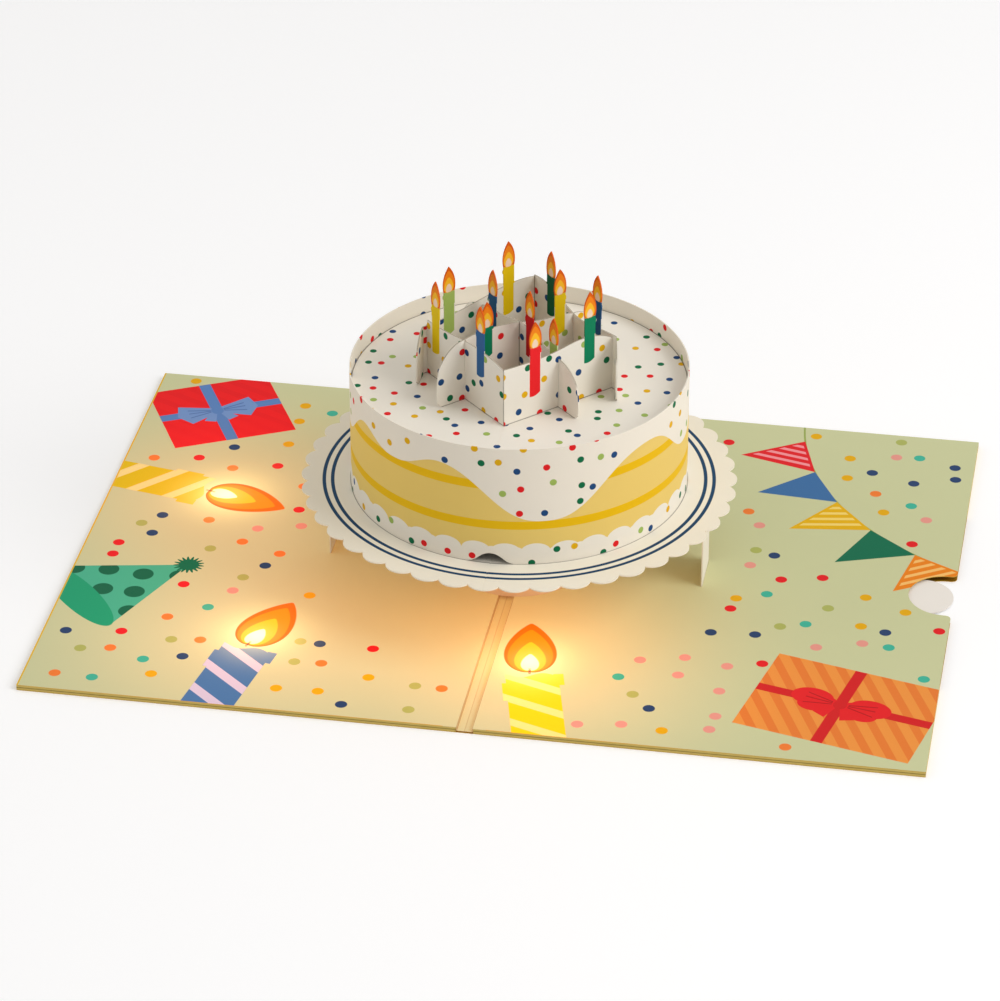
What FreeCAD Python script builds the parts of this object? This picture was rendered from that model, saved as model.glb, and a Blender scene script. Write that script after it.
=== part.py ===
# Pop up greeting card, opened flat, with a paper cake that stands on a plate and thirteen candles on it.
# Origin: on the surface it lies on, under the middle of the spine. +X right panel, +Y away, +Z up.

import FreeCAD, Part
import Sketcher
import math
import os
import re

SIZES = {
    # the card lying open
    "panel_width": 126.0,
    "card_depth": 178.0,
    "channel_width": 4.3,
    "cover_sheet": 0.22,
    "core_board": 1.35,
    "liner_sheet": 0.18,
    "channel_space": 0.3,
    "crease_width": 0.5,
    "crease_deep": 0.06,
    "fit_gap": 0.1,
    "glue_gap": 0.05,
    # finger notch and the slip that is pulled out there
    "notch_radius": 10.5,
    "notch_inset": 2.5,
    "notch_lip": 1.6,
    "notch_side": 0.6,
    "note_inner_x": 33.0,
    "note_width": 88.0,
    "note_sheet": 0.35,
    "note_corner": 4.0,
    "note_lift": 0.25,
    "note_end_inset": 14.0,
    "note_tab_radius": 9.1,
    "note_tab_inset": 9.2,
    "pocket_side_gap": 2.0,
    "pocket_end_gap": 3.0,
    # card stock of the parts that stand up
    "stock": 0.35,
    "slit_gap": 0.06,
    "tab_long": 6.0,
    "slit_turn": 1.0,
    # pedestal and struts under the plate
    "rise_side": 1.0,
    "pedestal_side": -1.5,
    "pedestal_radius": 19.3,
    "pedestal_tabs": 4,
    "pedestal_tab_turn": 30.0,
    "strut_clear": 6.1,
    "strut_width": 14.5,
    "strut_head": 4.5,
    "centre_window": 26.0,
    # plate
    "plate_height": 29.0,
    "plate_stock": 0.4,
    "scallop_count": 44,
    "scallop_radius": 5.0,
    "scallop_out": 9.3,
    "plate_out": 10.5,
    # cake
    "band_radius": 48.1,
    "band_tall": 36.8,
    "band_tabs": 6,
    "band_tab_turn": 12.0,
    "relief_wide": 14.6,
    "relief_tall": 3.2,
    "top_drop": 5.2,
    "top_tabs": 6,
    "top_tab_turn": 20.0,
    "top_tab_long": 8.0,
    # lattice of candle walls on the cake
    "wall_stock": 0.4,
    "cell_pitch": 18.7,
    "wall_tall": 18.2,
    "wing_reach": 9.6,
    "wing_foot": 1.8,
    "wing_widest": 4.5,
    "slot_gap": 0.1,
    "slot_share_tall": 9.0,
    "foot_wide": 5.0,
    "foot_long": 4.0,
    "bent_wing_lead": 1.5,
    "bent_wing_reach": 7.6,
    "left_wing_turn": 42.0,
    "right_wing_turn": 34.0,
    "end_tab_low": 6.0,
    "end_tab_tall": 5.0,
    "end_tab_out": 0.8,
    # candles, cut in one piece with the walls
    "candle_width": 3.6,
    "flame_width": 4.1,
    "flame_tall": 7.8,
    "candle_root": 4.0,
    "drip_out": 0.35,
    "drip_tall": 1.6,
    "drip_below": 0.8,
    # light module between the sheets
    "module_x": -46.5,
    "module_y": 56.0,
    "tray_wide": 49.0,
    "tray_deep": 26.0,
    "tray_tall": 1.25,
    "tray_corner": 3.0,
    "cell_radius": 10.0,
    "cell_tall": 1.2,
    "cell_edge": 0.2,
    "cell_spacing": 22.5,
    "cell_gap": 0.15,
    "contact_sheet": 0.1,
    "bridge_wide": 6.0,
    "spring_sheet": 0.15,
    "board_wide": 30.0,
    "board_deep": 14.0,
    "board_sheet": 0.4,
    "board_corner": 1.5,
    "board_below_tray": 24.0,
    "chip_radius": 3.6,
    "chip_tall": 0.6,
    "chip_spare": 1.0,
    "window_margin": 2.0,
    "lamp_wide": 3.5,
    "lamp_deep": 2.8,
    "lamp_tall": 0.8,
    "lens_radius": 1.1,
    "lead_wide": 2.4,
    "lead_sheet": 0.2,
    "lead_channel": 4.0,
    "groove_deep": 0.4,
    "lead_turn_x": -28.5,
    "lamp_window": 6.0,
    "rear_lamp_edge": 35.0,
    "rear_lamp_y": 20.6,
    "front_lamp_edge": 60.5,
    "front_lamp_inset": 36.3,
    "right_lamp_x": 12.2,
    "right_lamp_inset": 36.1,
    "tongue_wide": 4.0,
    "tongue_sheet": 0.15,
    "tongue_end": 14.0,
    "tongue_y": 36.5,
    "switch_wide": 3.0,
    "switch_long": 5.0,
    "switch_hold": 4.0,
}

# Each candle: how far along its wall it stands, and how high its flame's tip is above the cake.
# On a folded wall the distance is from the fold, on a straight slice from the middle.
FRONT_RIGHT_CANDLES = [(10.7, 29.5), (29.4, 33.1)]
FRONT_LEFT_CANDLES = [(11.1, 32.8), (33.0, 31.0)]
REAR_LEFT_CANDLES = [(9.2, 33.2), (29.8, 31.4)]
REAR_RIGHT_CANDLES = [(7.9, 30.6), (30.1, 32.6)]
SLICE_LEFT_CANDLES = [(-11.1, 28.4), (14.0, 31.0)]
SLICE_RIGHT_CANDLES = [(-16.4, 27.1), (-5.0, 30.6), (13.0, 29.5)]

# Each wavy top edge: share of the way along the wall, and how far it lies above or below wall_tall.
FRONT_RIGHT_WAVE = [(0.0, -0.5), (0.27, -0.8), (0.5, -0.2), (0.68, 0.8), (0.85, 0.3), (1.0, -1.9)]
FRONT_LEFT_WAVE = [(0.0, -0.5), (0.27, 0.6), (0.52, 0.2), (0.78, -1.0), (1.0, -1.3)]
REAR_LEFT_WAVE = [(0.0, 1.1), (0.2, 1.4), (0.5, -0.7), (0.75, -2.4), (1.0, -3.2)]
REAR_RIGHT_WAVE = [(0.0, 1.4), (0.17, 1.3), (0.52, -3.0), (0.82, -2.0), (1.0, -1.1)]
SLICE_LEFT_WAVE = [(0.0, 0.8), (0.22, 1.6), (0.4, 1.0), (0.5, 0.3), (0.72, -1.4), (0.88, -1.8), (1.0, -2.6)]
SLICE_RIGHT_WAVE = [(0.0, -2.9), (0.1, -2.4), (0.3, -0.4), (0.5, 0.6), (0.7, -0.9), (0.85, -1.1),
                    (1.0, -2.4)]

# The relief at the fold, from its left foot to its right: shares of half its width and of its height.
RELIEF_BELL = [(-1.0, -0.08), (-0.84, 0.03), (-0.64, 0.22), (-0.34, 0.75), (0.0, 1.0), (0.34, 0.75),
               (0.64, 0.22), (0.84, 0.03), (1.0, -0.08)]
# A wall's rounded end: share of its reach, and share of the fall from its top edge to its widest point.
WING_ROUND = [(0.6, 0.17), (0.9, 0.46)]
# Its foot's corner: shares of the corner's size, back from the reach and up from the cake.
WING_CORNER = (0.3, 0.5)
# How far up a flame is widest, as a share of its height.
FLAME_BULGE = 0.3
# The walls stand at half a right angle to the card's fold.
SLANT = 45.0
HALF_TURN = 180.0
FULL_TURN = 360.0
# Ends of an upright edge differ by less than this when seen from above.
UPRIGHT_SLACK = 0.001

doc = FreeCAD.newDocument("PopUpCard")
sheet = doc.addObject("Spreadsheet::Sheet", "sizes")
for row, (alias, number) in enumerate(SIZES.items(), start=1):
    sheet.set(f"A{row}", alias)
    sheet.set(f"B{row}", str(number))
    sheet.setAlias(f"B{row}", alias)
doc.recompute()


def size(text):
    """The value of an expression on the sheet's names."""
    return float(sheet.evalExpression(text))


def bound(text):
    """The same expression as an object outside the sheet has to write it."""
    return re.sub(r"[a-z_]+", lambda word: ("sizes." if word.group() in SIZES else "") + word.group(), text)


# Heights that several pieces share, as expressions.
PANEL_UNDER = "cover_sheet + core_board"
PANEL_TOP = "cover_sheet + core_board + liner_sheet"
PLATE_UNDER = "plate_height - plate_stock"
BOARD_Y = "(module_y - board_below_tray)"
BOARD_RIGHT = "(module_x + board_wide / 2)"
CAKE_TOP = "plate_height + band_tall - top_drop"
CHANNEL_HALF = "channel_width / 2"
CORE_INNER = "channel_width / 2 + liner_sheet + fit_gap"
STRUT_X = "(band_radius + strut_clear)"
SCALLOP_CIRCLE = "(band_radius + scallop_out)"
NOTE_LONG = "(panel_width - note_end_inset - note_inner_x)"

# Where the lamps lie, each under a printed flame.
REAR_LAMP = ("(rear_lamp_edge - panel_width)", "rear_lamp_y")
FRONT_LAMP = ("(front_lamp_edge - panel_width)", "(front_lamp_inset - card_depth / 2)")
RIGHT_LAMP = ("right_lamp_x", "(right_lamp_inset - card_depth / 2)")

# The pedestal's tabs stand between the fold and the struts.
PEDESTAL_TURN = 45.0


def new_body(label, x="0", y="0", z="0", turn=0.0):
    """A body whose origin is placed by expressions and turned about the vertical."""
    body = doc.addObject("PartDesign::Body", label)
    body.Label = label
    body.Placement = FreeCAD.Placement(
        FreeCAD.Vector(size(x), size(y), size(z)), FreeCAD.Rotation(FreeCAD.Vector(0, 0, 1), turn))
    for axis, text in (("x", x), ("y", y), ("z", z)):
        body.setExpression(f"Placement.Base.{axis}", bound(text))
    return body


def origin_part(body, role):
    return next(part for part in body.Origin.OriginFeatures if part.Role == role)


def new_sketch(body, role="XY_Plane", lift="0", turn=0.0):
    """A sketch on one of the body's own planes, lifted off it or turned about the vertical."""
    sketch = body.newObject("Sketcher::SketchObject", "Sketch")
    sketch.AttachmentSupport = [(origin_part(body, role), "")]
    sketch.MapMode = "FlatFace"
    upright = FreeCAD.Vector(0, 0, 1) if role == "XY_Plane" else FreeCAD.Vector(0, 1, 0)
    sketch.AttachmentOffset = FreeCAD.Placement(
        FreeCAD.Vector(0, 0, size(lift)), FreeCAD.Rotation(upright, turn))
    if lift != "0":
        sketch.setExpression("AttachmentOffset.Base.z", bound(lift))
    return sketch


def pin_point(sketch, curve, end, x, y):
    """Ties a point of a curve to the sheet, measured from the sketch's origin."""
    for kind, text in (("DistanceX", x), ("DistanceY", y)):
        index = sketch.addConstraint(Sketcher.Constraint(kind, -1, 1, curve, end, size(text)))
        sketch.setExpression(f"Constraints[{index}]", bound(text))


def outline(sketch, corners):
    """A closed outline of straight lines, each corner given by two expressions."""
    places = [FreeCAD.Vector(size(x), size(y), 0) for x, y in corners]
    first = sketch.GeometryCount
    count = len(corners)
    for index in range(count):
        sketch.addGeometry(Part.LineSegment(places[index], places[(index + 1) % count]), False)
    for index in range(count):
        after = first + (index + 1) % count
        sketch.addConstraint(Sketcher.Constraint("Coincident", first + index, 2, after, 1))
    for index, (x, y) in enumerate(corners):
        pin_point(sketch, first + index, 1, x, y)


def rectangle(sketch, low_x, low_y, high_x, high_y):
    outline(sketch, [(low_x, low_y), (high_x, low_y), (high_x, high_y), (low_x, high_y)])


def middle_rectangle(sketch, x, y, wide, deep):
    rectangle(sketch, f"{x} - ({wide}) / 2", f"{y} - ({deep}) / 2",
              f"{x} + ({wide}) / 2", f"{y} + ({deep}) / 2")


def circle(sketch, x, y, radius):
    place = FreeCAD.Vector(size(x), size(y), 0)
    index = sketch.addGeometry(Part.Circle(place, FreeCAD.Vector(0, 0, 1), size(radius)), False)
    pin_point(sketch, index, 3, x, y)
    constraint = sketch.addConstraint(Sketcher.Constraint("Radius", index, size(radius)))
    sketch.setExpression(f"Constraints[{constraint}]", bound(radius))


def draw(sketch, curves):
    """Curves worked out from the sheet, end to end, held where they are."""
    for curve in curves:
        index = sketch.addGeometry(curve, False)
        sketch.addConstraint(Sketcher.Constraint("Block", index))


def pad(body, sketch, length, side="One side", down=False):
    feature = body.newObject("PartDesign::Pad", "Pad")
    feature.Profile = sketch
    feature.Length = size(length)
    feature.setExpression("Length", bound(length))
    feature.SideType = side
    feature.Reversed = down
    return feature


def pocket(body, sketch, length=None, side="One side", up=False):
    """Cuts right through, or to a depth where a length is given."""
    feature = body.newObject("PartDesign::Pocket", "Pocket")
    feature.Profile = sketch
    if length is None:
        feature.Type = "ThroughAll"
    else:
        feature.Length = size(length)
        feature.setExpression("Length", bound(length))
    feature.SideType = side
    feature.Reversed = up
    return feature


def turned(body, kind, sketch, angle):
    """Turns a profile part of the way round the upright axis it was drawn from, half to each side."""
    feature = body.newObject(f"PartDesign::{kind}", kind)
    feature.Profile = sketch
    feature.ReferenceAxis = (sketch, ["V_Axis"])
    feature.Angle = size(angle)
    feature.setExpression("Angle", bound(angle))
    feature.Midplane = True
    return feature


def round_about(body, feature, count, axis=None):
    """Repeats a feature evenly round an upright axis, the body's own where none is given."""
    pattern = body.newObject("PartDesign::PolarPattern", "PolarPattern")
    pattern.Originals = [feature]
    pattern.Axis = axis or (origin_part(body, "Z_Axis"), [""])
    pattern.Angle = FULL_TURN
    pattern.Occurrences = int(size(count))
    pattern.setExpression("Occurrences", bound(count))
    body.Tip = pattern
    return pattern


def crease(body, lift, x="0", half_long="card_depth / 2"):
    """A shallow scored line along Y in the upper side of a sheet."""
    sketch = new_sketch(body, lift=lift)
    rectangle(sketch, f"{x} - crease_width / 2", f"-({half_long})", f"{x} + crease_width / 2", half_long)
    pocket(body, sketch, "crease_deep")


def cut_notch(body):
    """The finger notch in the right edge: a half round end, straight sides and rounded lips."""
    radius = size("notch_radius")
    middle = FreeCAD.Vector(size("panel_width - notch_inset"), size("notch_side"), 0)
    lip = size("notch_lip")
    edge = size("panel_width")
    beyond = edge + lip
    # Going round from the rear lip: the edge, the lip's arc, the half round end, the front lip's arc.
    slant = math.sqrt(0.5) * lip
    rear = middle.y + radius
    front = middle.y - radius
    points = [FreeCAD.Vector(x, y, 0) for x, y in (
        (beyond, rear + lip), (edge, rear + lip), (edge - lip, rear), (middle.x, rear),
        (middle.x, front), (edge - lip, front), (edge, front - lip), (beyond, front - lip))]
    rear_lip = FreeCAD.Vector(edge - lip + slant, rear + lip - slant, 0)
    front_lip = FreeCAD.Vector(edge - lip + slant, front - lip + slant, 0)
    end = FreeCAD.Vector(middle.x - radius, middle.y, 0)
    sketch = new_sketch(body)
    curves = [Part.LineSegment(points[0], points[1]), Part.Arc(points[1], rear_lip, points[2])]
    if points[2].x > points[3].x:
        curves.append(Part.LineSegment(points[2], points[3]))
    curves.append(Part.Arc(points[3], end, points[4]))
    if points[5].x > points[4].x:
        curves.append(Part.LineSegment(points[4], points[5]))
    curves += [Part.Arc(points[5], front_lip, points[6]), Part.LineSegment(points[6], points[7]),
               Part.LineSegment(points[7], points[0])]
    draw(sketch, curves)
    pocket(body, sketch, side="Symmetric")


def flat_sheet(label, low_x, low_y, high_x, high_y, thick, z, x="0", y="0", corner=None):
    """A flat rectangular piece, with rounded corners where a radius is given."""
    body = new_body(label, x, y, z)
    sketch = new_sketch(body)
    rectangle(sketch, low_x, low_y, high_x, high_y)
    pad(body, sketch, thick)
    if corner:
        round_uprights(body, corner)
    return body


def round_uprights(body, radius):
    """Rounds the upright edges at a flat piece's corners."""
    doc.recompute()
    base = body.Tip
    names = []
    for number, edge in enumerate(base.Shape.Edges, start=1):
        ends = [vertex.Point for vertex in edge.Vertexes]
        if len(ends) == 2 and math.hypot(ends[0].x - ends[1].x, ends[0].y - ends[1].y) < UPRIGHT_SLACK:
            names.append(f"Edge{number}")
    fillet = body.newObject("PartDesign::Fillet", "Fillet")
    fillet.Base = (base, names)
    fillet.Radius = size(radius)
    fillet.setExpression("Radius", bound(radius))
    return fillet


def tab_slits(body, radius, count, angle, low, high, forward="0", turn=0.0):
    """Slits for a tube's tabs, cut round a sheet where the tube's wall stands."""
    sketch = new_sketch(body, "XZ_Plane", forward, turn)
    rectangle(sketch, f"{radius} - stock - slit_gap", low, f"{radius} + slit_gap", high)
    groove = turned(body, "Groove", sketch, angle)
    round_about(body, groove, count, (sketch, ["V_Axis"]))


def glue_tabs(body, count, angle, corners):
    """Tabs folded from a tube's edge, as a bent profile turned part of the way round."""
    sketch = new_sketch(body, "XZ_Plane")
    outline(sketch, corners)
    tab = turned(body, "Revolution", sketch, angle)
    round_about(body, tab, count)


def build_outer_cover():
    """The gold sheet under everything, scored at both sides of the spine."""
    body = flat_sheet("outer_cover", "-panel_width", "-card_depth / 2", "panel_width", "card_depth / 2",
                      "cover_sheet", "0")
    crease(body, "cover_sheet", f"-({CHANNEL_HALF})")
    crease(body, "cover_sheet", CHANNEL_HALF)
    cut_notch(body)
    return body


def build_inner_card():
    """The printed sheet: flat on both halves and folded down into the spine channel."""
    body = new_body("inner_card")
    sketch = new_sketch(body, "XZ_Plane")
    floor = "cover_sheet + channel_space"
    outline(sketch, [
        ("-panel_width", PANEL_UNDER), (f"-({CHANNEL_HALF}) - liner_sheet", PANEL_UNDER),
        (f"-({CHANNEL_HALF}) - liner_sheet", floor), (f"{CHANNEL_HALF} + liner_sheet", floor),
        (f"{CHANNEL_HALF} + liner_sheet", PANEL_UNDER), ("panel_width", PANEL_UNDER),
        ("panel_width", PANEL_TOP), (CHANNEL_HALF, PANEL_TOP), (CHANNEL_HALF, f"{floor} + liner_sheet"),
        (f"-({CHANNEL_HALF})", f"{floor} + liner_sheet"), (f"-({CHANNEL_HALF})", PANEL_TOP),
        ("-panel_width", PANEL_TOP)])
    pad(body, sketch, "card_depth", "Symmetric")
    crease(body, f"{floor} + liner_sheet")
    cut_notch(body)
    for side in ("-", ""):
        slit = new_sketch(body)
        middle_rectangle(slit, f"{side}{STRUT_X}", "rise_side", "stock + 2 * slit_gap",
                         "strut_width + 2 * slit_gap")
        pocket(body, slit, side="Symmetric")
    tab_slits(body, "pedestal_radius", "pedestal_tabs", "pedestal_tab_turn + slit_turn",
              f"{PANEL_UNDER} - liner_sheet", f"{PANEL_TOP} + liner_sheet", "-pedestal_side",
              PEDESTAL_TURN)
    return body


def build_core(label, side):
    """The left or right board between the sheets; side is -1 or 1."""
    body = new_body(label, z="cover_sheet")
    sketch = new_sketch(body)
    inner = CORE_INNER if side > 0 else f"-({CORE_INNER})"
    outer = "panel_width" if side > 0 else "-panel_width"
    low, high = (inner, outer) if side > 0 else (outer, inner)
    rectangle(sketch, low, "-card_depth / 2", high, "card_depth / 2")
    pad(body, sketch, "core_board")
    middle = new_sketch(body)
    circle(middle, "0", "pedestal_side", "centre_window")
    pocket(body, middle, up=True)
    return body


def window(body, low_x, low_y, high_x, high_y, deep=None):
    """A window through a board, or a groove in its underside where a depth is given."""
    sketch = new_sketch(body)
    rectangle(sketch, low_x, low_y, high_x, high_y)
    pocket(body, sketch, deep, up=True)


def groove_along_x(body, low_x, high_x, y, wide):
    window(body, low_x, f"{y} - {wide} / 2", high_x, f"{y} + {wide} / 2", "groove_deep")


def groove_along_y(body, x, low_y, high_y, wide):
    window(body, f"{x} - {wide} / 2", low_y, f"{x} + {wide} / 2", high_y, "groove_deep")


def lamp_window(body, lamp):
    x, y = lamp
    half = "lamp_window / 2"
    window(body, f"{x} - {half}", f"{y} - {half}", f"{x} + {half}", f"{y} + {half}")


def build_left_core():
    """The left board: windows for the light module, two lamps and a strut's tab, grooves for the leads."""
    body = build_core("left_core", -1)
    module_left = "module_x - tray_wide / 2 - window_margin"
    module_right = "module_x + tray_wide / 2 + window_margin"
    module_front = f"{BOARD_Y} - board_deep / 2 - window_margin"
    window(body, module_left, module_front, module_right, "module_y + tray_deep / 2 + window_margin")
    window(body, f"-{STRUT_X} - stock - tab_long", "rise_side - strut_width / 2 - fit_gap",
           f"-{STRUT_X} + stock", "rise_side + strut_width / 2 + fit_gap")
    lamp_window(body, REAR_LAMP)
    lamp_window(body, FRONT_LAMP)
    channel = "lead_channel"
    rear_x, rear_y = REAR_LAMP
    right_y = RIGHT_LAMP[1]
    groove_along_y(body, rear_x, rear_y, f"{BOARD_Y} + {channel} / 2", channel)
    groove_along_x(body, f"{rear_x} - {channel} / 2", f"{module_left} + {channel}", BOARD_Y, channel)
    groove_along_y(body, *FRONT_LAMP, f"{module_front} + {channel}", channel)
    groove_along_y(body, "lead_turn_x", f"{right_y} - {channel} / 2", f"{module_front} + {channel}", channel)
    groove_along_x(body, "lead_turn_x", "0", right_y, channel)
    groove_along_x(body, f"{module_right} - {channel}", "0", "tongue_y", "(tongue_wide + 2 * window_margin)")
    return body


def build_right_core():
    """The right board, open at its edge where the slip is pulled out."""
    body = build_core("right_core", 1)
    half = "(note_width / 2 + pocket_side_gap)"
    window(body, "note_inner_x - pocket_end_gap", f"notch_side - {half}",
           "panel_width + notch_lip", f"notch_side + {half}")
    lamp_window(body, RIGHT_LAMP)
    groove_along_x(body, "0", *RIGHT_LAMP, "lead_channel")
    groove_along_x(body, "0", "tongue_end + window_margin", "tongue_y", "(tongue_wide + 2 * window_margin)")
    return body


def build_note_card():
    """The slip, with its round tab reaching the card's edge through the notch."""
    body = flat_sheet("note_card", f"-{NOTE_LONG}", "-note_width / 2", "0", "note_width / 2", "note_sheet",
                      "cover_sheet + note_lift", "panel_width - note_end_inset", "notch_side", "note_corner")
    tab = new_sketch(body)
    circle(tab, "note_end_inset - note_tab_inset", "0", "note_tab_radius")
    pad(body, tab, "note_sheet")
    return body


def build_pedestal_tube():
    """The paper tube that carries the plate, with tabs glued under both sheets that it meets."""
    body = new_body("pedestal_tube", y="pedestal_side", z=PANEL_TOP, turn=PEDESTAL_TURN)
    tall = f"({PLATE_UNDER} - ({PANEL_TOP}))"
    ring = new_sketch(body)
    circle(ring, "0", "0", "pedestal_radius")
    circle(ring, "0", "0", "pedestal_radius - stock")
    pad(body, ring, tall)
    inner = "pedestal_radius - stock"
    glue_tabs(body, "pedestal_tabs", "pedestal_tab_turn", [
        (inner, "0"), ("pedestal_radius", "0"), ("pedestal_radius", "-liner_sheet"),
        ("pedestal_radius + tab_long", "-liner_sheet"),
        ("pedestal_radius + tab_long", "-liner_sheet - stock"),
        (inner, "-liner_sheet - stock")])
    glue_tabs(body, "pedestal_tabs", "pedestal_tab_turn", [
        (f"{inner} - tab_long", f"{tall} - stock"), (inner, f"{tall} - stock"),
        (inner, tall), (f"{inner} - tab_long", tall)])
    return body


def build_strut(label, side):
    """An upright strip folded under the plate at its top and under the printed sheet at its foot."""
    body = new_body(label, f"{side}{STRUT_X}", "rise_side", PANEL_TOP)
    tall = f"({PLATE_UNDER} - ({PANEL_TOP}))"
    near = "stock / 2"
    out = f"{near} + tab_long" if side == "" else f"-{near} - tab_long"
    away = near if side == "" else f"-{near}"
    inward = f"-{near}" if side == "" else near
    head = f"-{near} - strut_head" if side == "" else f"{near} + strut_head"
    sketch = new_sketch(body, "XZ_Plane")
    outline(sketch, [
        (inward, "-liner_sheet - stock"), (out, "-liner_sheet - stock"), (out, "-liner_sheet"),
        (away, "-liner_sheet"), (away, tall), (head, tall), (head, f"{tall} - stock"),
        (inward, f"{tall} - stock")])
    pad(body, sketch, "strut_width", "Symmetric")
    return body


def build_plate():
    """The scalloped paper plate, scored at the fold and slit for the band's tabs."""
    body = new_body("plate", y="rise_side", z=PLATE_UNDER)
    disc = new_sketch(body)
    circle(disc, "0", "0", "band_radius + plate_out")
    pad(body, disc, "plate_stock")
    lobe = new_sketch(body)
    circle(lobe, SCALLOP_CIRCLE, "0", "scallop_radius")
    scallop = pad(body, lobe, "plate_stock")
    round_about(body, scallop, "scallop_count")
    tab_slits(body, "band_radius", "band_tabs", "band_tab_turn + slit_turn",
              "-plate_stock", "2 * plate_stock")
    crease(body, "plate_stock", half_long=f"{SCALLOP_CIRCLE} + scallop_radius")
    return body


def build_cake_band():
    """The cake's side: a tall paper ring, relieved at the fold, with tabs through the plate."""
    body = new_body("cake_band", y="rise_side", z="plate_height")
    ring = new_sketch(body)
    circle(ring, "0", "0", "band_radius")
    circle(ring, "0", "0", "band_radius - stock")
    pad(body, ring, "band_tall")
    arch = new_sketch(body, "XZ_Plane")
    half = size("relief_wide") / 2
    bell = smooth([FreeCAD.Vector(across * half, up * size("relief_tall"), 0) for across, up in RELIEF_BELL])
    draw(arch, [bell, Part.LineSegment(bell.value(bell.LastParameter), bell.value(bell.FirstParameter))])
    pocket(body, arch, side="Symmetric")
    inner = "band_radius - stock"
    glue_tabs(body, "band_tabs", "band_tab_turn", [
        (inner, "0"), ("band_radius", "0"), ("band_radius", "-plate_stock - stock"),
        (f"{inner} - tab_long", "-plate_stock - stock"), (f"{inner} - tab_long", "-plate_stock"),
        (inner, "-plate_stock")])
    return body


def build_cake_top():
    """The disc below the rim, held by flaps on the band's inner side and slit for the walls' feet."""
    body = new_body("cake_top", y="rise_side", z=f"{CAKE_TOP} - stock")
    radius = "band_radius - stock - glue_gap"
    disc = new_sketch(body)
    circle(disc, "0", "0", radius)
    pad(body, disc, "stock")
    glue_tabs(body, "top_tabs", "top_tab_turn", [
        (f"{radius} - stock", f"-top_tab_long"), (radius, "-top_tab_long"), (radius, "0"),
        (f"{radius} - stock", "0")])
    crease(body, "stock", half_long=radius)
    for corner_y, turn, places in FOOT_PLACES:
        for place in places:
            slit = new_sketch(body, turn=turn)
            across = f"{corner_y} * cos({turn})"
            along = f"{corner_y} * sin({turn})"
            middle_rectangle(slit, f"{along} + {place}", across, "foot_wide + 2 * slit_gap",
                             "wall_stock + 2 * slit_gap")
            pocket(body, slit, up=True)
    return body


# Where the folded walls' folds lie along the card's depth, measured from the cake's middle.
FRONT_FOLD = "(-cell_pitch * sqrt(2))"
REAR_FOLD = "(cell_pitch * sqrt(2))"
WALL_LONG = "(2 * cell_pitch)"
WING_CREASE = "(2 * cell_pitch + bent_wing_lead)"
LEG_FEET = ["cell_pitch / 2", "cell_pitch * 3 / 2"]
SLICE_FEET = ["-cell_pitch / 2", "cell_pitch / 2"]

# The feet of each straight run of wall: the fold or middle it is measured from, its turn and the places.
FOOT_PLACES = [
    (FRONT_FOLD, SLANT, LEG_FEET),
    (FRONT_FOLD, HALF_TURN - SLANT, LEG_FEET),
    (REAR_FOLD, -SLANT, LEG_FEET),
    (REAR_FOLD, SLANT - HALF_TURN, LEG_FEET),
    ("0", SLANT, SLICE_FEET),
    ("0", HALF_TURN - SLANT, SLICE_FEET),
]


def top_points(wave, start, end):
    """Points of a wavy top edge between two places along a wall."""
    tall = size("wall_tall")
    return [FreeCAD.Vector(start + share * (end - start), tall + lift, 0) for share, lift in wave]


def smooth(points):
    curve = Part.BSplineCurve()
    curve.interpolate(points)
    return curve


def wing_curve(edge_top, reach, side):
    """The rounded end of a wall, from its top edge out and down to its foot's small corner."""
    foot = size("wing_foot")
    low = size("wing_widest")
    fall = edge_top.y - low
    back, up = WING_CORNER
    places = [(reach * out, edge_top.y - fall * down) for out, down in WING_ROUND]
    places += [(reach, low), (reach - foot * back, foot * up), (reach - foot, 0)]
    return smooth([edge_top] + [FreeCAD.Vector(edge_top.x + side * x, y, 0) for x, y in places])


def leg_curves(wave, end):
    """The outline of a leg from its fold to its end, with a level stretch of top edge at both."""
    lap = size("wall_stock / 2")
    top = top_points(wave, lap, end - lap)
    fold_top, fold_foot, end_foot, end_top = [FreeCAD.Vector(x, y, 0) for x, y in (
        (-lap, top[0].y), (-lap, 0), (end, 0), (end, top[-1].y))]
    return [Part.LineSegment(fold_top, fold_foot), Part.LineSegment(fold_foot, end_foot),
            Part.LineSegment(end_foot, end_top), Part.LineSegment(end_top, top[-1]),
            smooth(top[::-1]), Part.LineSegment(top[0], fold_top)]


def wall_pad(body, curves, turn):
    sketch = new_sketch(body, "XZ_Plane", turn=turn)
    draw(sketch, curves)
    return pad(body, sketch, "wall_stock", "Symmetric")


def candle_curves(place, tip):
    """A candle that stands out of a wall's top edge: body, one run of wax and a pointed flame."""
    half = size("candle_width") / 2
    flame = size("flame_width") / 2
    root = size("wall_tall - candle_root")
    neck = tip - size("flame_tall")
    drip = size("drip_tall") / 2
    drip_middle = neck - size("drip_below") - drip
    bulge = neck + size("flame_tall") * FLAME_BULGE

    def at(x, y):
        return FreeCAD.Vector(place + x, y, 0)
    return [
        Part.LineSegment(at(-half, root), at(half, root)),
        Part.LineSegment(at(half, root), at(half, drip_middle - drip)),
        Part.Arc(at(half, drip_middle - drip), at(half + size("drip_out"), drip_middle),
                 at(half, drip_middle + drip)),
        Part.LineSegment(at(half, drip_middle + drip), at(half, neck)),
        Part.Arc(at(half, neck), at(flame, bulge), at(0, tip)),
        Part.Arc(at(0, tip), at(-flame, bulge), at(-half, neck)),
        Part.LineSegment(at(-half, neck), at(-half, root))]


def add_candles(body, candles, turn):
    for place, tip in candles:
        sketch = new_sketch(body, "XZ_Plane", turn=turn)
        draw(sketch, candle_curves(place, tip))
        pad(body, sketch, "wall_stock", "Symmetric")


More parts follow.
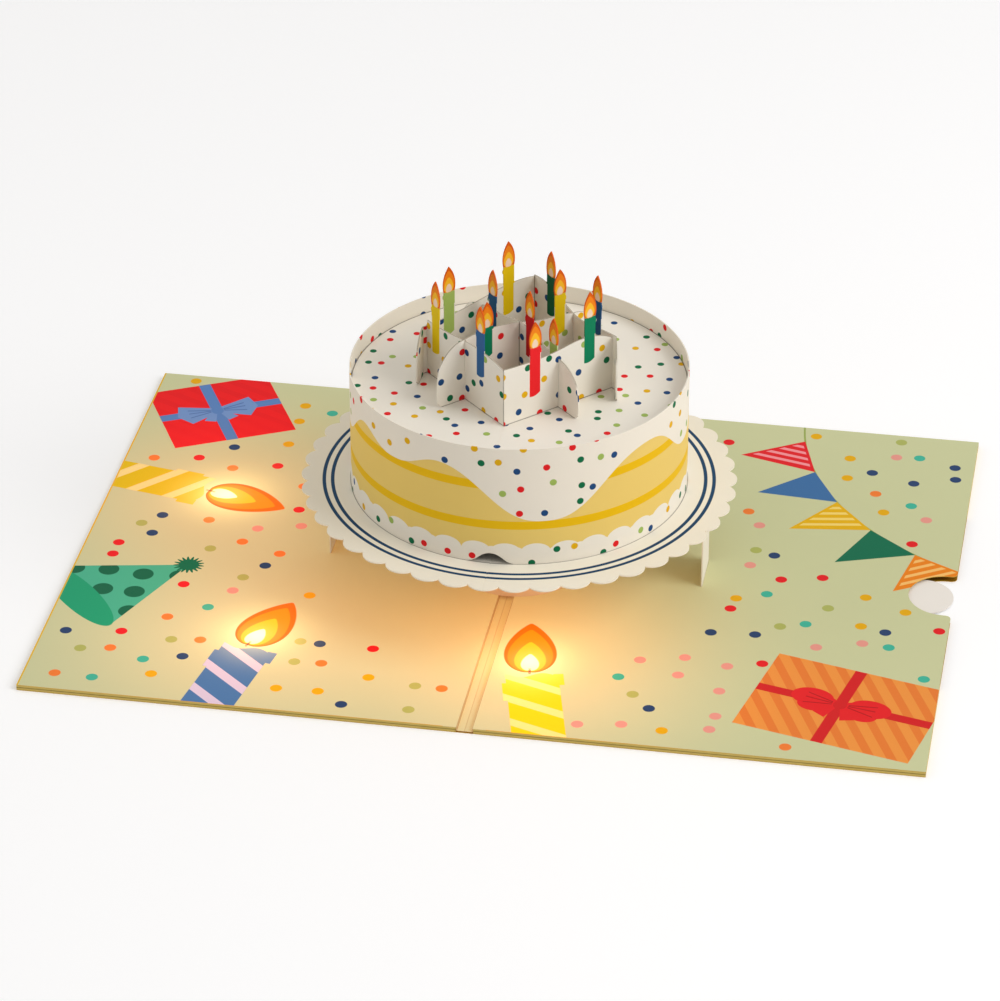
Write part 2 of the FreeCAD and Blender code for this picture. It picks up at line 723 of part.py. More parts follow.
def cut_slots(body, places, turn, from_top):
    """Half height slots where one wall passes another."""
    sketch = new_sketch(body, "XZ_Plane", turn=turn)
    low, high = ("slot_share_tall", "2 * wall_tall") if from_top else ("-wall_tall", "slot_share_tall")
    for place in places:
        rectangle(sketch, f"{place} - wall_stock / 2 - slot_gap / 2", low,
                  f"{place} + wall_stock / 2 + slot_gap / 2", high)
    pocket(body, sketch, side="Symmetric")


def add_feet(body, places, turn):
    """Tabs that pass the cake's top and are folded flat under it."""
    for place in places:
        neck = new_sketch(body, "XZ_Plane", turn=turn)
        rectangle(neck, f"{place} - foot_wide / 2", "-stock - wall_stock", f"{place} + foot_wide / 2", "0")
        pad(body, neck, "wall_stock", "Symmetric")
        flat = new_sketch(body, lift="-stock - wall_stock", turn=turn)
        rectangle(flat, f"{place} - foot_wide / 2", "-wall_stock / 2", f"{place} + foot_wide / 2",
                  "foot_long")
        pad(body, flat, "wall_stock")


def build_front_candle_wall():
    """One sheet folded at the front: a leg to the right and a leg to the left."""
    body = new_body("front_candle_wall", y=f"rise_side + {FRONT_FOLD}", z=CAKE_TOP)
    reach = size(f"{WALL_LONG} - wall_stock / 2 - glue_gap")
    legs = ((SLANT, FRONT_RIGHT_WAVE, FRONT_RIGHT_CANDLES),
            (HALF_TURN - SLANT, FRONT_LEFT_WAVE, FRONT_LEFT_CANDLES))
    for turn, wave, candles in legs:
        wall_pad(body, leg_curves(wave, reach), turn)
        add_candles(body, candles, turn)
        end_tab = new_sketch(body, "XZ_Plane", turn=turn)
        rectangle(end_tab, f"{WALL_LONG} - wall_stock", "end_tab_low",
                  f"{WALL_LONG} + wall_stock / 2 + end_tab_out", "end_tab_low + end_tab_tall")
        pad(body, end_tab, "wall_stock", "Symmetric")
        cut_slots(body, ["cell_pitch"], turn, False)
        add_feet(body, LEG_FEET, turn)
    return body


def build_rear_candle_wall():
    """One sheet folded at the rear, whose ends pass the front wall and are creased towards the front."""
    body = new_body("rear_candle_wall", y=f"rise_side + {REAR_FOLD}", z=CAKE_TOP)
    legs = ((-SLANT, -1, "right_wing_turn", REAR_RIGHT_WAVE, REAR_RIGHT_CANDLES),
            (SLANT - HALF_TURN, 1, "left_wing_turn", REAR_LEFT_WAVE, REAR_LEFT_CANDLES))
    for turn, bend, wing_turn, wave, candles in legs:
        wall_pad(body, leg_curves(wave, size(WING_CREASE)), turn)
        add_bent_wing(body, turn, bend, wing_turn, wave[-1][1])
        add_candles(body, candles, turn)
        cut_slots(body, ["cell_pitch"], turn, False)
        slit = new_sketch(body, "XZ_Plane", turn=turn)
        rectangle(slit, f"{WALL_LONG} - wall_stock / 2 - slit_gap", "end_tab_low - slit_gap",
                  f"{WALL_LONG} + wall_stock / 2 + slit_gap", "end_tab_low + end_tab_tall + slit_gap")
        pocket(body, slit, side="Symmetric")
        add_feet(body, LEG_FEET, turn)
    return body


def add_bent_wing(body, turn, bend, wing_turn, lift):
    """The rounded end of a rear leg, turned about an upright crease; bend is -1 or 1 and gives the way."""
    outer = f"{-bend} * wall_stock / 2"
    corner = new_sketch(body, turn=turn)
    outline(corner, [
        (WING_CREASE, "0"), (WING_CREASE, outer),
        (f"{WING_CREASE} + wall_stock / 2 * tan({wing_turn} / 2)", outer),
        (f"{WING_CREASE} + wall_stock / 2 * sin({wing_turn})", f"{outer} * cos({wing_turn})")])
    pad(body, corner, f"wall_tall + ({lift})")
    angle = math.radians(turn)
    place = FreeCAD.Vector(math.cos(angle), math.sin(angle), 0) * size(WING_CREASE)
    sketch = new_sketch(body, "XZ_Plane")
    # the sketch's plane has the body's Z as its Y and the body's -Y as its Z
    sketch.AttachmentOffset = FreeCAD.Placement(
        FreeCAD.Vector(place.x, 0, -place.y),
        FreeCAD.Rotation(FreeCAD.Vector(0, 1, 0), turn + bend * size(wing_turn)))
    lap = size("wall_stock / 2")
    high = size("wall_tall") + lift
    crease_foot = FreeCAD.Vector(0, 0, 0)
    crease_top = FreeCAD.Vector(0, high, 0)
    level_end = FreeCAD.Vector(lap, high, 0)
    curve = wing_curve(level_end, size("bent_wing_reach"), 1)
    draw(sketch, [
        Part.LineSegment(crease_foot, crease_top), Part.LineSegment(crease_top, level_end), curve,
        Part.LineSegment(curve.value(curve.LastParameter), crease_foot)])
    pad(body, sketch, "wall_stock", "Symmetric")


def build_candle_slice(label, turn, wave, candles, middle_from_top):
    """A straight slice across the cake, rounded at both ends and slotted at its three crossings."""
    body = new_body(label, y="rise_side", z=CAKE_TOP, turn=turn)
    reach = size("wing_reach")
    half = size("cell_pitch")
    top = top_points(wave, -half, half)
    left = wing_curve(top[0], reach, -1)
    right = wing_curve(top[-1], reach, 1)
    wall_pad(body, [
        Part.LineSegment(left.value(left.LastParameter), right.value(right.LastParameter)),
        right, smooth(top), left], 0)
    add_candles(body, candles, 0)
    cut_slots(body, ["-cell_pitch", "cell_pitch"], 0, True)
    cut_slots(body, ["0"], 0, middle_from_top)
    add_feet(body, SLICE_FEET, 0)
    return body


def build_battery_tray():
    """The thin frame round the two coin cells."""
    body = flat_sheet("battery_tray", "-tray_wide / 2", "-tray_deep / 2", "tray_wide / 2", "tray_deep / 2",
                      "tray_tall", "cover_sheet", "module_x", "module_y", "tray_corner")
    seats = new_sketch(body)
    for side in ("-", ""):
        circle(seats, f"{side}cell_spacing / 2", "0", "cell_radius + cell_gap")
    pocket(body, seats, up=True)
    lane = new_sketch(body)
    rectangle(lane, "-cell_spacing / 2", "-bridge_wide / 2 - cell_gap", "cell_spacing / 2",
              "bridge_wide / 2 + cell_gap")
    pocket(body, lane, "contact_sheet + cell_gap", up=True)
    slots = new_sketch(body)
    for side in (-1, 1):
        edge = [f"{side} * (cell_spacing / 2 + cell_radius + cell_gap / 2 - spring_sheet * 2)",
                f"{side} * (cell_spacing / 2 + cell_radius + spring_sheet + cell_gap * 2)"]
        edge.sort(key=size)
        rectangle(slots, edge[0], "-bridge_wide / 2 - cell_gap", edge[1], "bridge_wide / 2 + cell_gap")
    pocket(body, slots, up=True)
    return body


def build_coin_cell(label, side):
    """A flat coin cell with a softened rim."""
    body = new_body(label, f"module_x {side} cell_spacing / 2", "module_y", "cover_sheet + contact_sheet")
    sketch = new_sketch(body, "XZ_Plane")
    outline(sketch, [("0", "0"), ("cell_radius - cell_edge", "0"), ("cell_radius", "cell_edge"),
                     ("cell_radius", "cell_tall - cell_edge"), ("cell_radius - cell_edge", "cell_tall"),
                     ("0", "cell_tall")])
    turned(body, "Revolution", sketch, str(FULL_TURN))
    return body


def build_side_contacts():
    """The two upright springs that press on the cells' rims."""
    body = doc.addObject("Part::Compound", "side_contacts")
    leaves = []
    for side in (-1, 1):
        leaf = doc.addObject("Part::Box", "leaf")
        place = f"module_x + {side} * (cell_spacing / 2 + cell_radius + spring_sheet / 2) - spring_sheet / 2"
        for name, text in (("Length", "spring_sheet"), ("Width", "bridge_wide"), ("Height", "cell_tall"),
                           ("Placement.Base.x", place), ("Placement.Base.y", "module_y - bridge_wide / 2"),
                           ("Placement.Base.z", "cover_sheet")):
            leaf.setExpression(name, bound(text))
        leaves.append(leaf)
    body.Links = leaves
    return body


def build_controller_chip():
    """The black drop of resin over the flicker circuit."""
    chip = doc.addObject("Part::Common", "controller_chip")
    ball = doc.addObject("Part::Sphere", "chip_ball")
    ball_radius = "((chip_radius ^ 2 + chip_tall ^ 2) / (2 * chip_tall))"
    board_top = "cover_sheet + board_sheet"
    ball.setExpression("Radius", bound(ball_radius))
    block = doc.addObject("Part::Cylinder", "chip_block")
    block.setExpression("Radius", bound("chip_radius + chip_spare"))
    block.setExpression("Height", bound("chip_tall + chip_spare"))
    for piece, z in ((ball, f"{board_top} + chip_tall - {ball_radius}"), (block, board_top)):
        piece.setExpression("Placement.Base.x", bound("module_x"))
        piece.setExpression("Placement.Base.y", bound(BOARD_Y))
        piece.setExpression("Placement.Base.z", bound(z))
    chip.Base = ball
    chip.Tool = block
    return chip


def build_lamp(name, place):
    """A flat lamp with a low round lens, lying on the end of its lead."""
    body = flat_sheet(name, "-lamp_wide / 2", "-lamp_deep / 2", "lamp_wide / 2", "lamp_deep / 2",
                      "lamp_tall", "cover_sheet + lead_sheet", *place)
    lens = new_sketch(body, lift="lamp_tall")
    circle(lens, "0", "0", "lens_radius")
    pad(body, lens, "lead_sheet")
    return body


def build_lead(name, corners):
    """A flat two track lead, given by the outline it is cut to."""
    body = new_body(name, z="cover_sheet")
    sketch = new_sketch(body)
    outline(sketch, corners)
    pad(body, sketch, "lead_sheet")
    return body


def build_leads():
    """Leads from the board's edges to the three lamps, each one bent once in its channel."""
    half = "lead_wide / 2"
    lamp_x, lamp_y = REAR_LAMP
    board_left = "module_x - board_wide / 2 - fit_gap"
    rear = build_lead("lead_rear", [
        (f"{lamp_x} - {half}", f"{lamp_y} - {half}"), (f"{lamp_x} + {half}", f"{lamp_y} - {half}"),
        (f"{lamp_x} + {half}", f"{BOARD_Y} - {half}"), (board_left, f"{BOARD_Y} - {half}"),
        (board_left, f"{BOARD_Y} + {half}"), (f"{lamp_x} - {half}", f"{BOARD_Y} + {half}")])
    lamp_x, lamp_y = FRONT_LAMP
    board_front = f"{BOARD_Y} - board_deep / 2 - fit_gap"
    start = "module_x - board_wide / 2 + 2 * lead_wide"
    front = build_lead("lead_front", [
        (f"{lamp_x} - {half}", f"{lamp_y} - {half}"), (f"{lamp_x} + {half}", f"{lamp_y} - {half}"),
        (f"{lamp_x} + {half}", f"{board_front} - lead_wide / 2"), (start, f"{board_front} - lead_wide / 2"),
        (start, board_front), (f"{lamp_x} - {half}", board_front)])
    lamp_x, lamp_y = RIGHT_LAMP
    board_side = f"{BOARD_RIGHT} + fit_gap"
    lead_y = f"{BOARD_Y} - board_deep / 4"
    right = build_lead("lead_right", [
        (f"lead_turn_x - {half}", f"{lamp_y} - {half}"), (f"{lamp_x} + {half}", f"{lamp_y} - {half}"),
        (f"{lamp_x} + {half}", f"{lamp_y} + {half}"), (f"lead_turn_x + {half}", f"{lamp_y} + {half}"),
        (f"lead_turn_x + {half}", f"{lead_y} + {half}"), (board_side, f"{lead_y} + {half}"),
        (board_side, f"{lead_y} - {half}"), (f"lead_turn_x - {half}", f"{lead_y} - {half}")])
    return [rear, front, right]


def build_switch():
    """A leaf bent down from the board's edge to a pad, and the tongue that parts them in the shut card."""
    spring = new_body("switch_spring", BOARD_RIGHT, "tongue_y", "cover_sheet")
    profile = new_sketch(spring, "XZ_Plane")
    reach = "fit_gap + switch_long"
    outline(profile, [
        ("-switch_hold", "board_sheet"), ("fit_gap", "board_sheet"), ("fit_gap", "contact_sheet"),
        (reach, "contact_sheet"), (reach, "contact_sheet + spring_sheet"),
        ("fit_gap + spring_sheet", "contact_sheet + spring_sheet"),
        ("fit_gap + spring_sheet", "board_sheet + spring_sheet"),
        ("-switch_hold", "board_sheet + spring_sheet")])
    pad(spring, profile, "switch_wide", "Symmetric")
    contact = flat_sheet("switch_pad", "0", "-switch_wide / 2", reach, "switch_wide / 2", "contact_sheet",
                         "cover_sheet", BOARD_RIGHT, "tongue_y")
    tongue = flat_sheet("switch_tongue", f"{BOARD_RIGHT} + {reach} + fit_gap", "-tongue_wide / 2",
                        "tongue_end", "tongue_wide / 2", "tongue_sheet", "cover_sheet", y="tongue_y")
    return [spring, contact, tongue]


def build_all():
    pieces = [build_outer_cover(), build_inner_card(), build_left_core(), build_right_core(),
              build_note_card(), build_pedestal_tube(), build_strut("left_strut", "-"),
              build_strut("right_strut", ""), build_plate(), build_cake_band(), build_cake_top(),
              build_front_candle_wall(), build_rear_candle_wall(),
              build_candle_slice("candle_slice_left", SLANT, SLICE_LEFT_WAVE, SLICE_LEFT_CANDLES, True),
              build_candle_slice("candle_slice_right", HALF_TURN - SLANT, SLICE_RIGHT_WAVE,
                                 SLICE_RIGHT_CANDLES, False),
              build_battery_tray(), build_coin_cell("coin_cell_left", "-"),
              build_coin_cell("coin_cell_right", "+"), build_side_contacts(), build_controller_chip()]
    pieces.append(flat_sheet("cell_bridge", "-cell_spacing / 2", "-bridge_wide / 2", "cell_spacing / 2",
                             "bridge_wide / 2", "contact_sheet", "cover_sheet", "module_x", "module_y"))
    pieces.append(flat_sheet("circuit_board", "-board_wide / 2", "-board_deep / 2", "board_wide / 2",
                             "board_deep / 2", "board_sheet", "cover_sheet", "module_x",
                             BOARD_Y, "board_corner"))
    pieces += [build_lamp("led_rear", REAR_LAMP), build_lamp("led_front", FRONT_LAMP),
               build_lamp("led_right", RIGHT_LAMP)]
    pieces += build_leads() + build_switch()
    return pieces


def check(pieces):
    """Stops before anything is written if an object failed or a piece has no sound solid."""
    for item in doc.Objects:
        if "Invalid" in item.State or "Error" in item.State:
            raise RuntimeError(f"{item.Name} ({item.Label}) failed: {item.State}")
    for piece in pieces:
        if piece.Shape.isNull() or not piece.Shape.isValid() or not piece.Shape.Solids:
            raise RuntimeError(f"{piece.Label} has no sound solid")


def main():
    pieces = build_all()
    doc.recompute()
    check(pieces)
    os.makedirs("parts", exist_ok=True)
    for piece in pieces:
        piece.Shape.exportStep(f"parts/{piece.Label}.step")
        box = piece.Shape.BoundBox
        print(f"{piece.Label}: {len(piece.Shape.Solids)} solid, {piece.Shape.Volume:.1f} mm3, "
              f"z {box.ZMin:.2f} to {box.ZMax:.2f}")


main()
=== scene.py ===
import bpy
import math
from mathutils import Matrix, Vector


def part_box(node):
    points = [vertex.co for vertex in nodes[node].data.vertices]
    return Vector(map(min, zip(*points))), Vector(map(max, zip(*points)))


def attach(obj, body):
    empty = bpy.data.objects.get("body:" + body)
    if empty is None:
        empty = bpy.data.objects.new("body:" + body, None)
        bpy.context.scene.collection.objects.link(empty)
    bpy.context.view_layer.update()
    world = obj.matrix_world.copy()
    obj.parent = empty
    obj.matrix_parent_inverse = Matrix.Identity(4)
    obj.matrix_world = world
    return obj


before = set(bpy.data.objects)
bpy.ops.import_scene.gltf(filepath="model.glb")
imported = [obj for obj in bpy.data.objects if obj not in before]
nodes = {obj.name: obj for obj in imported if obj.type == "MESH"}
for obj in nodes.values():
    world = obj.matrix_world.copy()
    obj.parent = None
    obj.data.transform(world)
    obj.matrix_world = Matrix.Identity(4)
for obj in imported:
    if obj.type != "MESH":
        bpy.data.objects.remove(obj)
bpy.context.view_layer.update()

millimetres = 1000  # the frame is in metres, and the print is laid out in millimetres
bpy.ops.object.select_all(action="DESELECT")
print("frame loaded with", len(nodes), "nodes")


def tint(red, green, blue):  # a printed colour in 0 to 255, as the shaders want it
    parts = []
    for value in (red, green, blue):
        share = value / 255
        parts.append(share / 12.92 if share <= 0.04045 else ((share + 0.055) / 1.055) ** 2.4)
    return (*parts, 1)


class Wire:  # a node's socket, so that shader sums are written as sums
    def __init__(self, socket):
        self.socket = socket

    def make(self, kind, settings=None, feeds=None, out=0):  # any other node: type, settings, then sockets
        tree = self.socket.id_data
        node = tree.nodes.new(kind)
        for name, value in (settings or {}).items():
            if name == "stops":
                setStops(node.color_ramp, value)
            else:
                setattr(node, name, value)
        for name, value in (feeds or {}).items():
            if isinstance(value, Wire):
                tree.links.new(value.socket, node.inputs[name])
            else:
                node.inputs[name].default_value = value
        return Wire(node.outputs[out])

    def also(self, out):  # another output of the same node
        return Wire(self.socket.node.outputs[out])

    def sum(self, operation, *values, clamp=False):
        return self.make("ShaderNodeMath", {"operation": operation, "use_clamp": clamp},
                         dict(enumerate(values)))

    def apply(self, operation, *others, clamp=False):  # the same, with this wire as the first value
        return self.sum(operation, self, *others, clamp=clamp)

    def __add__(self, other):
        return self.sum("ADD", self, other)

    def __radd__(self, other):
        return self.sum("ADD", other, self)

    def __sub__(self, other):
        return self.sum("SUBTRACT", self, other)

    def __rsub__(self, other):
        return self.sum("SUBTRACT", other, self)

    def __mul__(self, other):
        return self.sum("MULTIPLY", self, other)

    def __rmul__(self, other):
        return self.sum("MULTIPLY", other, self)

    def __truediv__(self, other):
        return self.sum("DIVIDE", self, other)

    def __rtruediv__(self, other):
        return self.sum("DIVIDE", other, self)

    def __pow__(self, other):
        return self.sum("POWER", self, other)

    def __abs__(self):
        return self.sum("ABSOLUTE", self)

    def __or__(self, other):  # either mask, or the larger of two numbers
        return self.sum("MAXIMUM", self, other)

    def __and__(self, other):  # both masks, or the smaller of two numbers
        return self.sum("MINIMUM", self, other)


def setStops(ramp, stops):
    while len(ramp.elements) > 1:
        ramp.elements.remove(ramp.elements[-1])
    for index, (place, colour) in enumerate(stops):
        stop = ramp.elements[0] if index == 0 else ramp.elements.new(place)
        stop.position = place
        stop.color = colour


def startMaterial(name):  # an empty material, and its place in millimetres
    material = bpy.data.materials.new(name)
    material.use_nodes = True
    material.node_tree.nodes.clear()
    metres = Wire(material.node_tree.nodes.new("ShaderNodeTexCoord").outputs["Object"])
    spot = metres.make("ShaderNodeVectorMath", {"operation": "SCALE"}, {0: metres, "Scale": millimetres})
    return material, spot


def closeMaterial(material, feeds):  # the surface shader that every finish ends in
    tree = material.node_tree
    shader = tree.nodes.new("ShaderNodeBsdfPrincipled")
    for name, value in feeds.items():
        if isinstance(value, Wire):
            tree.links.new(value.socket, shader.inputs[name])
        else:
            shader.inputs[name].default_value = value
    end = tree.nodes.new("ShaderNodeOutputMaterial")
    tree.links.new(shader.outputs[0], end.inputs["Surface"])
    return material


def dress(name, material):  # gives a node or a piece one finish all over
    piece = nodes[name] if name in nodes else bpy.data.objects[name]
    piece.data.materials.clear()
    piece.data.materials.append(material)


def split(vector):
    x = vector.make("ShaderNodeSeparateXYZ", None, {0: vector})
    return x, x.also(1), x.also(2)


def join(x, y):
    return x.make("ShaderNodeCombineXYZ", None, {0: x, 1: y})


def layer(under, mask, colour):  # prints a colour over another where the mask is 1
    return under.make("ShaderNodeMix", {"data_type": "RGBA"}, {0: mask, 6: under, 7: colour}, 2)


def times(first, second):  # one colour seen in the light of another
    return first.make("ShaderNodeMix", {"data_type": "RGBA", "blend_type": "MULTIPLY"},
                      {0: 1.0, 6: first, 7: second}, 2)


def addTints(first, second):
    return first.make("ShaderNodeMix", {"data_type": "RGBA", "blend_type": "ADD"},
                      {0: 1.0, 6: first, 7: second}, 2)


def lightOf(strength, red, green, blue):  # a coloured light whose strength changes over the surface
    return strength.make("ShaderNodeCombineColor", None,
                         {0: strength * red, 1: strength * green, 2: strength * blue})


# over how many mm a mask fades: at a printed edge, and so on
printBlur = 0.12
creaseShadeBlur = 0.14
flameBlur = 0.3
facingBlur = 0.2  # for a mask from the way that the surface faces
sharp = 0.001  # for a mask that takes or leaves whole dots


def inside(distance, blur=printBlur):  # a mask from a distance in mm, which is below 0 inside the shape
    return distance.apply("MULTIPLY_ADD", -1 / blur, 0.5, clamp=True)


def middleOf(name):  # a node's middle, seen from above
    low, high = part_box(name)
    return (low.x + high.x) / 2 * millimetres, (low.y + high.y) / 2 * millimetres


def localSpot(spot, centre, degrees):  # across and along, in a frame that is moved and turned
    turned = spot.make("ShaderNodeMapping", {"vector_type": "TEXTURE"},
                       {0: spot, 1: (*centre, 0), 2: (0, 0, math.radians(degrees))})
    across, along, _ = split(turned)
    return across, along


def distanceFrom(spot, place):
    x, y, _ = split(spot)
    return ((x - place[0]) ** 2 + (y - place[1]) ** 2) ** 0.5


def fade(distance, reach):  # 1 at the middle, falling smoothly to nothing
    return ((distance * (1 / reach)) ** 2 * -1).apply("EXPONENT")


def oblong(across, along, halfWide, halfLong):
    return (abs(across) - halfWide) | (abs(along) - halfLong)


def ellipse(across, along, halfWide, halfLong):
    return ((across / halfWide) ** 2 + (along / halfLong) ** 2 - 1) * (min(halfWide, halfLong) / 2)


def corners(spot, points):  # a convex shape given by its corners, anticlockwise
    distance = None
    for (ax, ay), (bx, by) in zip(points, points[1:] + points[:1]):
        long = math.hypot(bx - ax, by - ay)
        normal = ((by - ay) / long, (ax - bx) / long, 0)
        side = spot.make("ShaderNodeVectorMath", {"operation": "DOT_PRODUCT"}, {0: spot, 1: normal}, 1)
        side = side - (normal[0] * ax + normal[1] * ay)
        distance = side if distance is None else distance | side
    return distance


flameShape = {"foot": 0.5, "tip": 0.85, "fullness": 2.44, "trim": 0.2}  # the trim in mm, at both ends


def teardrop(across, along, tall, halfWide):  # round at its foot, pointed at its tip
    look = flameShape
    share = along.apply("DIVIDE", tall, clamp=True)
    swell = share ** look["foot"] * (1 - share) ** look["tip"]
    side = abs(across) - swell * (halfWide * look["fullness"])
    return side | (look["trim"] - along) | (along - tall + look["trim"])


def stripes(across, pitch, wide):
    return across.apply("PINGPONG", pitch / 2) - wide / 2


def confetti(spot, look):  # whole round dots scattered by a seed, their colours and each one's centre
    across, along, _ = split(spot)
    pitch = look["pitch"]
    seed = look["seed"]
    grid = join(across / pitch + seed, along / pitch - seed)
    cell = grid.make("ShaderNodeTexVoronoi", {"voronoi_dimensions": "2D"},
                     {"Vector": grid, "Scale": 1, "Randomness": look["scatter"]})
    distance = cell * pitch - look["radius"]
    pick = cell.make("ShaderNodeSeparateColor", None, {0: cell.also(1)})
    stops = [(index / len(look["tints"]), tint(*value)) for index, value in enumerate(look["tints"])]
    colour = pick.make("ShaderNodeValToRGB", {"stops": stops}, {0: pick})
    colour.socket.node.color_ramp.interpolation = "CONSTANT"
    centreX, centreY, _ = split(cell.also(2))
    return inside(distance), colour, ((centreX - seed) * pitch, (centreY + seed) * pitch)


def plainColour(spot, colour):
    wire = spot.make("ShaderNodeRGB")
    wire.socket.default_value = colour
    return wire


def shaded(colour, shade):  # a colour made a little lighter or darker by a number near 1
    return times(colour, lightOf(shade, 1, 1, 1))


def facing(spot, axis):  # how far the surface faces along an axis of the model, from -1 to 1
    normal = spot.make("ShaderNodeNewGeometry", None, None, 1)
    return split(normal)[axis]


topFrom = 0.5  # a top is what faces up by more than this


def topMask(spot):
    return inside(topFrom - facing(spot, 2), facingBlur)


def noise(spot, scale, detail):
    return spot.make("ShaderNodeTexNoise", None, {0: spot, "Scale": scale, "Detail": detail})


# crease is the tint of the painted shade at folds and where paper stands on paper
paperLook = {"fibre": 2.2, "fibreDetail": 4, "cloud": 0.05, "cloudDetail": 2, "relief": 0.25,
             "reliefDepth": 0.00004, "rough": 0.62, "roughSpread": 0.12, "unevenness": 0.03,
             "gloss": 0.16, "crease": (104, 96, 84)}


def paperGrain(spot, look):  # fibres: a fine bump and a little unevenness in the gloss
    fibre = noise(spot, look["fibre"], look["fibreDetail"])
    cloud = noise(spot, look["cloud"], look["cloudDetail"])
    bump = spot.make("ShaderNodeBump", None,
                     {"Strength": look["relief"], "Distance": look["reliefDepth"], "Height": fibre})
    rough = cloud * look["roughSpread"] + (look["rough"] - look["roughSpread"] / 2)
    shade = cloud * look["unevenness"] + (1 - look["unevenness"] / 2)
    return bump, rough, shade


def closePaper(material, colour, grain, glow=None):  # a printed or plain sheet, which may glow
    bump, rough, shade = grain
    feeds = {"Base Color": shaded(colour, shade), "Roughness": rough, "Normal": bump,
             "Specular IOR Level": paperLook["gloss"]}
    if glow is not None:
        feeds.update({"Emission Color": glow, "Emission Strength": 1.0})
    return closeMaterial(material, feeds)


def paintCreaseShade(colour, distance, depth):  # painted shade: the dark line where paper is folded or stands on paper
    return layer(colour, inside(distance, creaseShadeBlur) * depth, tint(*paperLook["crease"]))


def paperMaterial(name, colour):  # plain uncoated card stock
    material, spot = startMaterial(name)
    return closePaper(material, plainColour(spot, tint(*colour)), paperGrain(spot, paperLook))


# the printed sheet inside the card
sheetPrint = {
    "ground": (203, 205, 159),
    "edge": (212, 170, 70),
    # painted shade: dark lines along the spine channel's two folds and its middle crease
    "spineFoldShadeTint": (150, 116, 68),
    "foldAt": 2.15,  # mm from the spine's middle
    "foldHalf": 0.16,
    "middleHalf": 0.14,
    "middleShare": 0.5,  # how strong the painted shade of the middle line is beside the other two
    "spineFoldShadeDepth": 0.6,
    "rim": (222, 182, 60),
    "rimWide": 0.5,  # gold that shows along the left edge
    "clearReach": 63.0,  # no dots nearer than this to the cake's middle
    "spineHalf": 6.0,  # no dots and no gilt nearer than this to the fold
    "dotGap": 0.6,  # between a dot and what is printed beside it
    "dots": {"pitch": 12.0, "radius": 1.7, "scatter": 0.66, "seed": 3.0, "tints": [
        (36, 62, 104), (64, 178, 152), (240, 126, 52), (226, 26, 32), (228, 170, 8), (230, 152, 138),
        (172, 178, 96)]},
}
# the light that the three flames throw on the print
glowLook = {
    "warmReach": 41.0,
    "warmTint": (1.0, 0.37, 0.17),
    "warmStrengths": (0.72, 0.8, 1.0),
    "haloReach": 11.5,
    "haloTint": (1.0, 0.68, 0.22),
    "haloStrength": 0.72,
    "haloUnderFlame": 0.9,  # the share of the halo that a flame's orange rim hides
    "coreReach": 5.2,
    "coreTint": (1.0, 0.92, 0.62),
    "coreStrength": 0.5,
    "coreUnderFlame": 0.7,
}
lampNames = ("led_rear", "led_front", "led_right")
lampSpots = [middleOf(name) for name in lampNames]
largeCandles = [  # lean of the body and of the flame from the far direction, and the wax's colours
    {"lamp": lampSpots[0], "lean": -101, "flameLean": -105, "wax": (216, 190, 14), "band": (240, 222, 146)},
    {"lamp": lampSpots[1], "lean": -10, "flameLean": -19, "wax": (70, 116, 168), "band": (206, 198, 222)},
    {"lamp": lampSpots[2], "lean": 13, "flameLean": 8, "wax": (246, 214, 16), "band": (250, 232, 140)},
]
largeCandle = {"halfWide": 7.4, "long": 44.0, "flameFoot": -6.2, "flameTall": 25.5, "flameHalf": 7.4,
               "stripePitch": 11.6, "stripeWide": 3.6, "stripeSlope": 0.62, "sideGap": 1.0,
               "topGap": 1.2, "meltWave": 0.55, "meltDepth": 0.9,
               "drips": [(-1, 8.0, 1.2, 4.4), (1, 2.6, 1.4, 2.8)],  # side, drop, half width and length
               "wick": (150, 84, 50), "wickHalf": (0.35, 1.5), "wickLift": 0.8,
               "flameTints": [(1.0, 0.0, (238, 116, 0)), (0.86, 0.3, (248, 152, 2)),
                              (0.6, 0.6, (255, 206, 24)), (0.34, 1.0, (255, 246, 180))]}


def printLargeCandle(spot, colour, candle):  # returns the print and the mask of its outer flame
    look = largeCandle
    across, along = localSpot(spot, candle["lamp"], candle["lean"])
    top = look["flameFoot"] - look["topGap"]
    melt = (across * look["meltWave"]).apply("SINE") * look["meltDepth"]
    body = (abs(across) - look["halfWide"]) | (along - top - melt) | (-look["long"] - along)
    for side, drop, *half in look["drips"]:
        body = body & oblong(across - side * look["halfWide"], along - (top - drop), *half)
    colour = layer(colour, inside(body), tint(*candle["wax"]))
    slant = along + across * look["stripeSlope"]
    band = stripes(slant, look["stripePitch"], look["stripeWide"]) | body
    colour = layer(colour, inside(band), tint(*candle["band"]))
    across, along = localSpot(spot, candle["lamp"], candle["flameLean"])
    rise = along - look["flameFoot"]
    outer = None
    for share, lift, flameTint in look["flameTints"]:
        flame = teardrop(across, rise - lift, look["flameTall"] * share, look["flameHalf"] * share)
        flame = inside(flame, flameBlur)
        colour = layer(colour, flame, tint(*flameTint))
        outer = flame if outer is None else outer
        inner = flame
    wick = oblong(across, rise - look["wickLift"], *look["wickHalf"])
    return layer(colour, inside(wick), tint(*look["wick"])), outer - inner


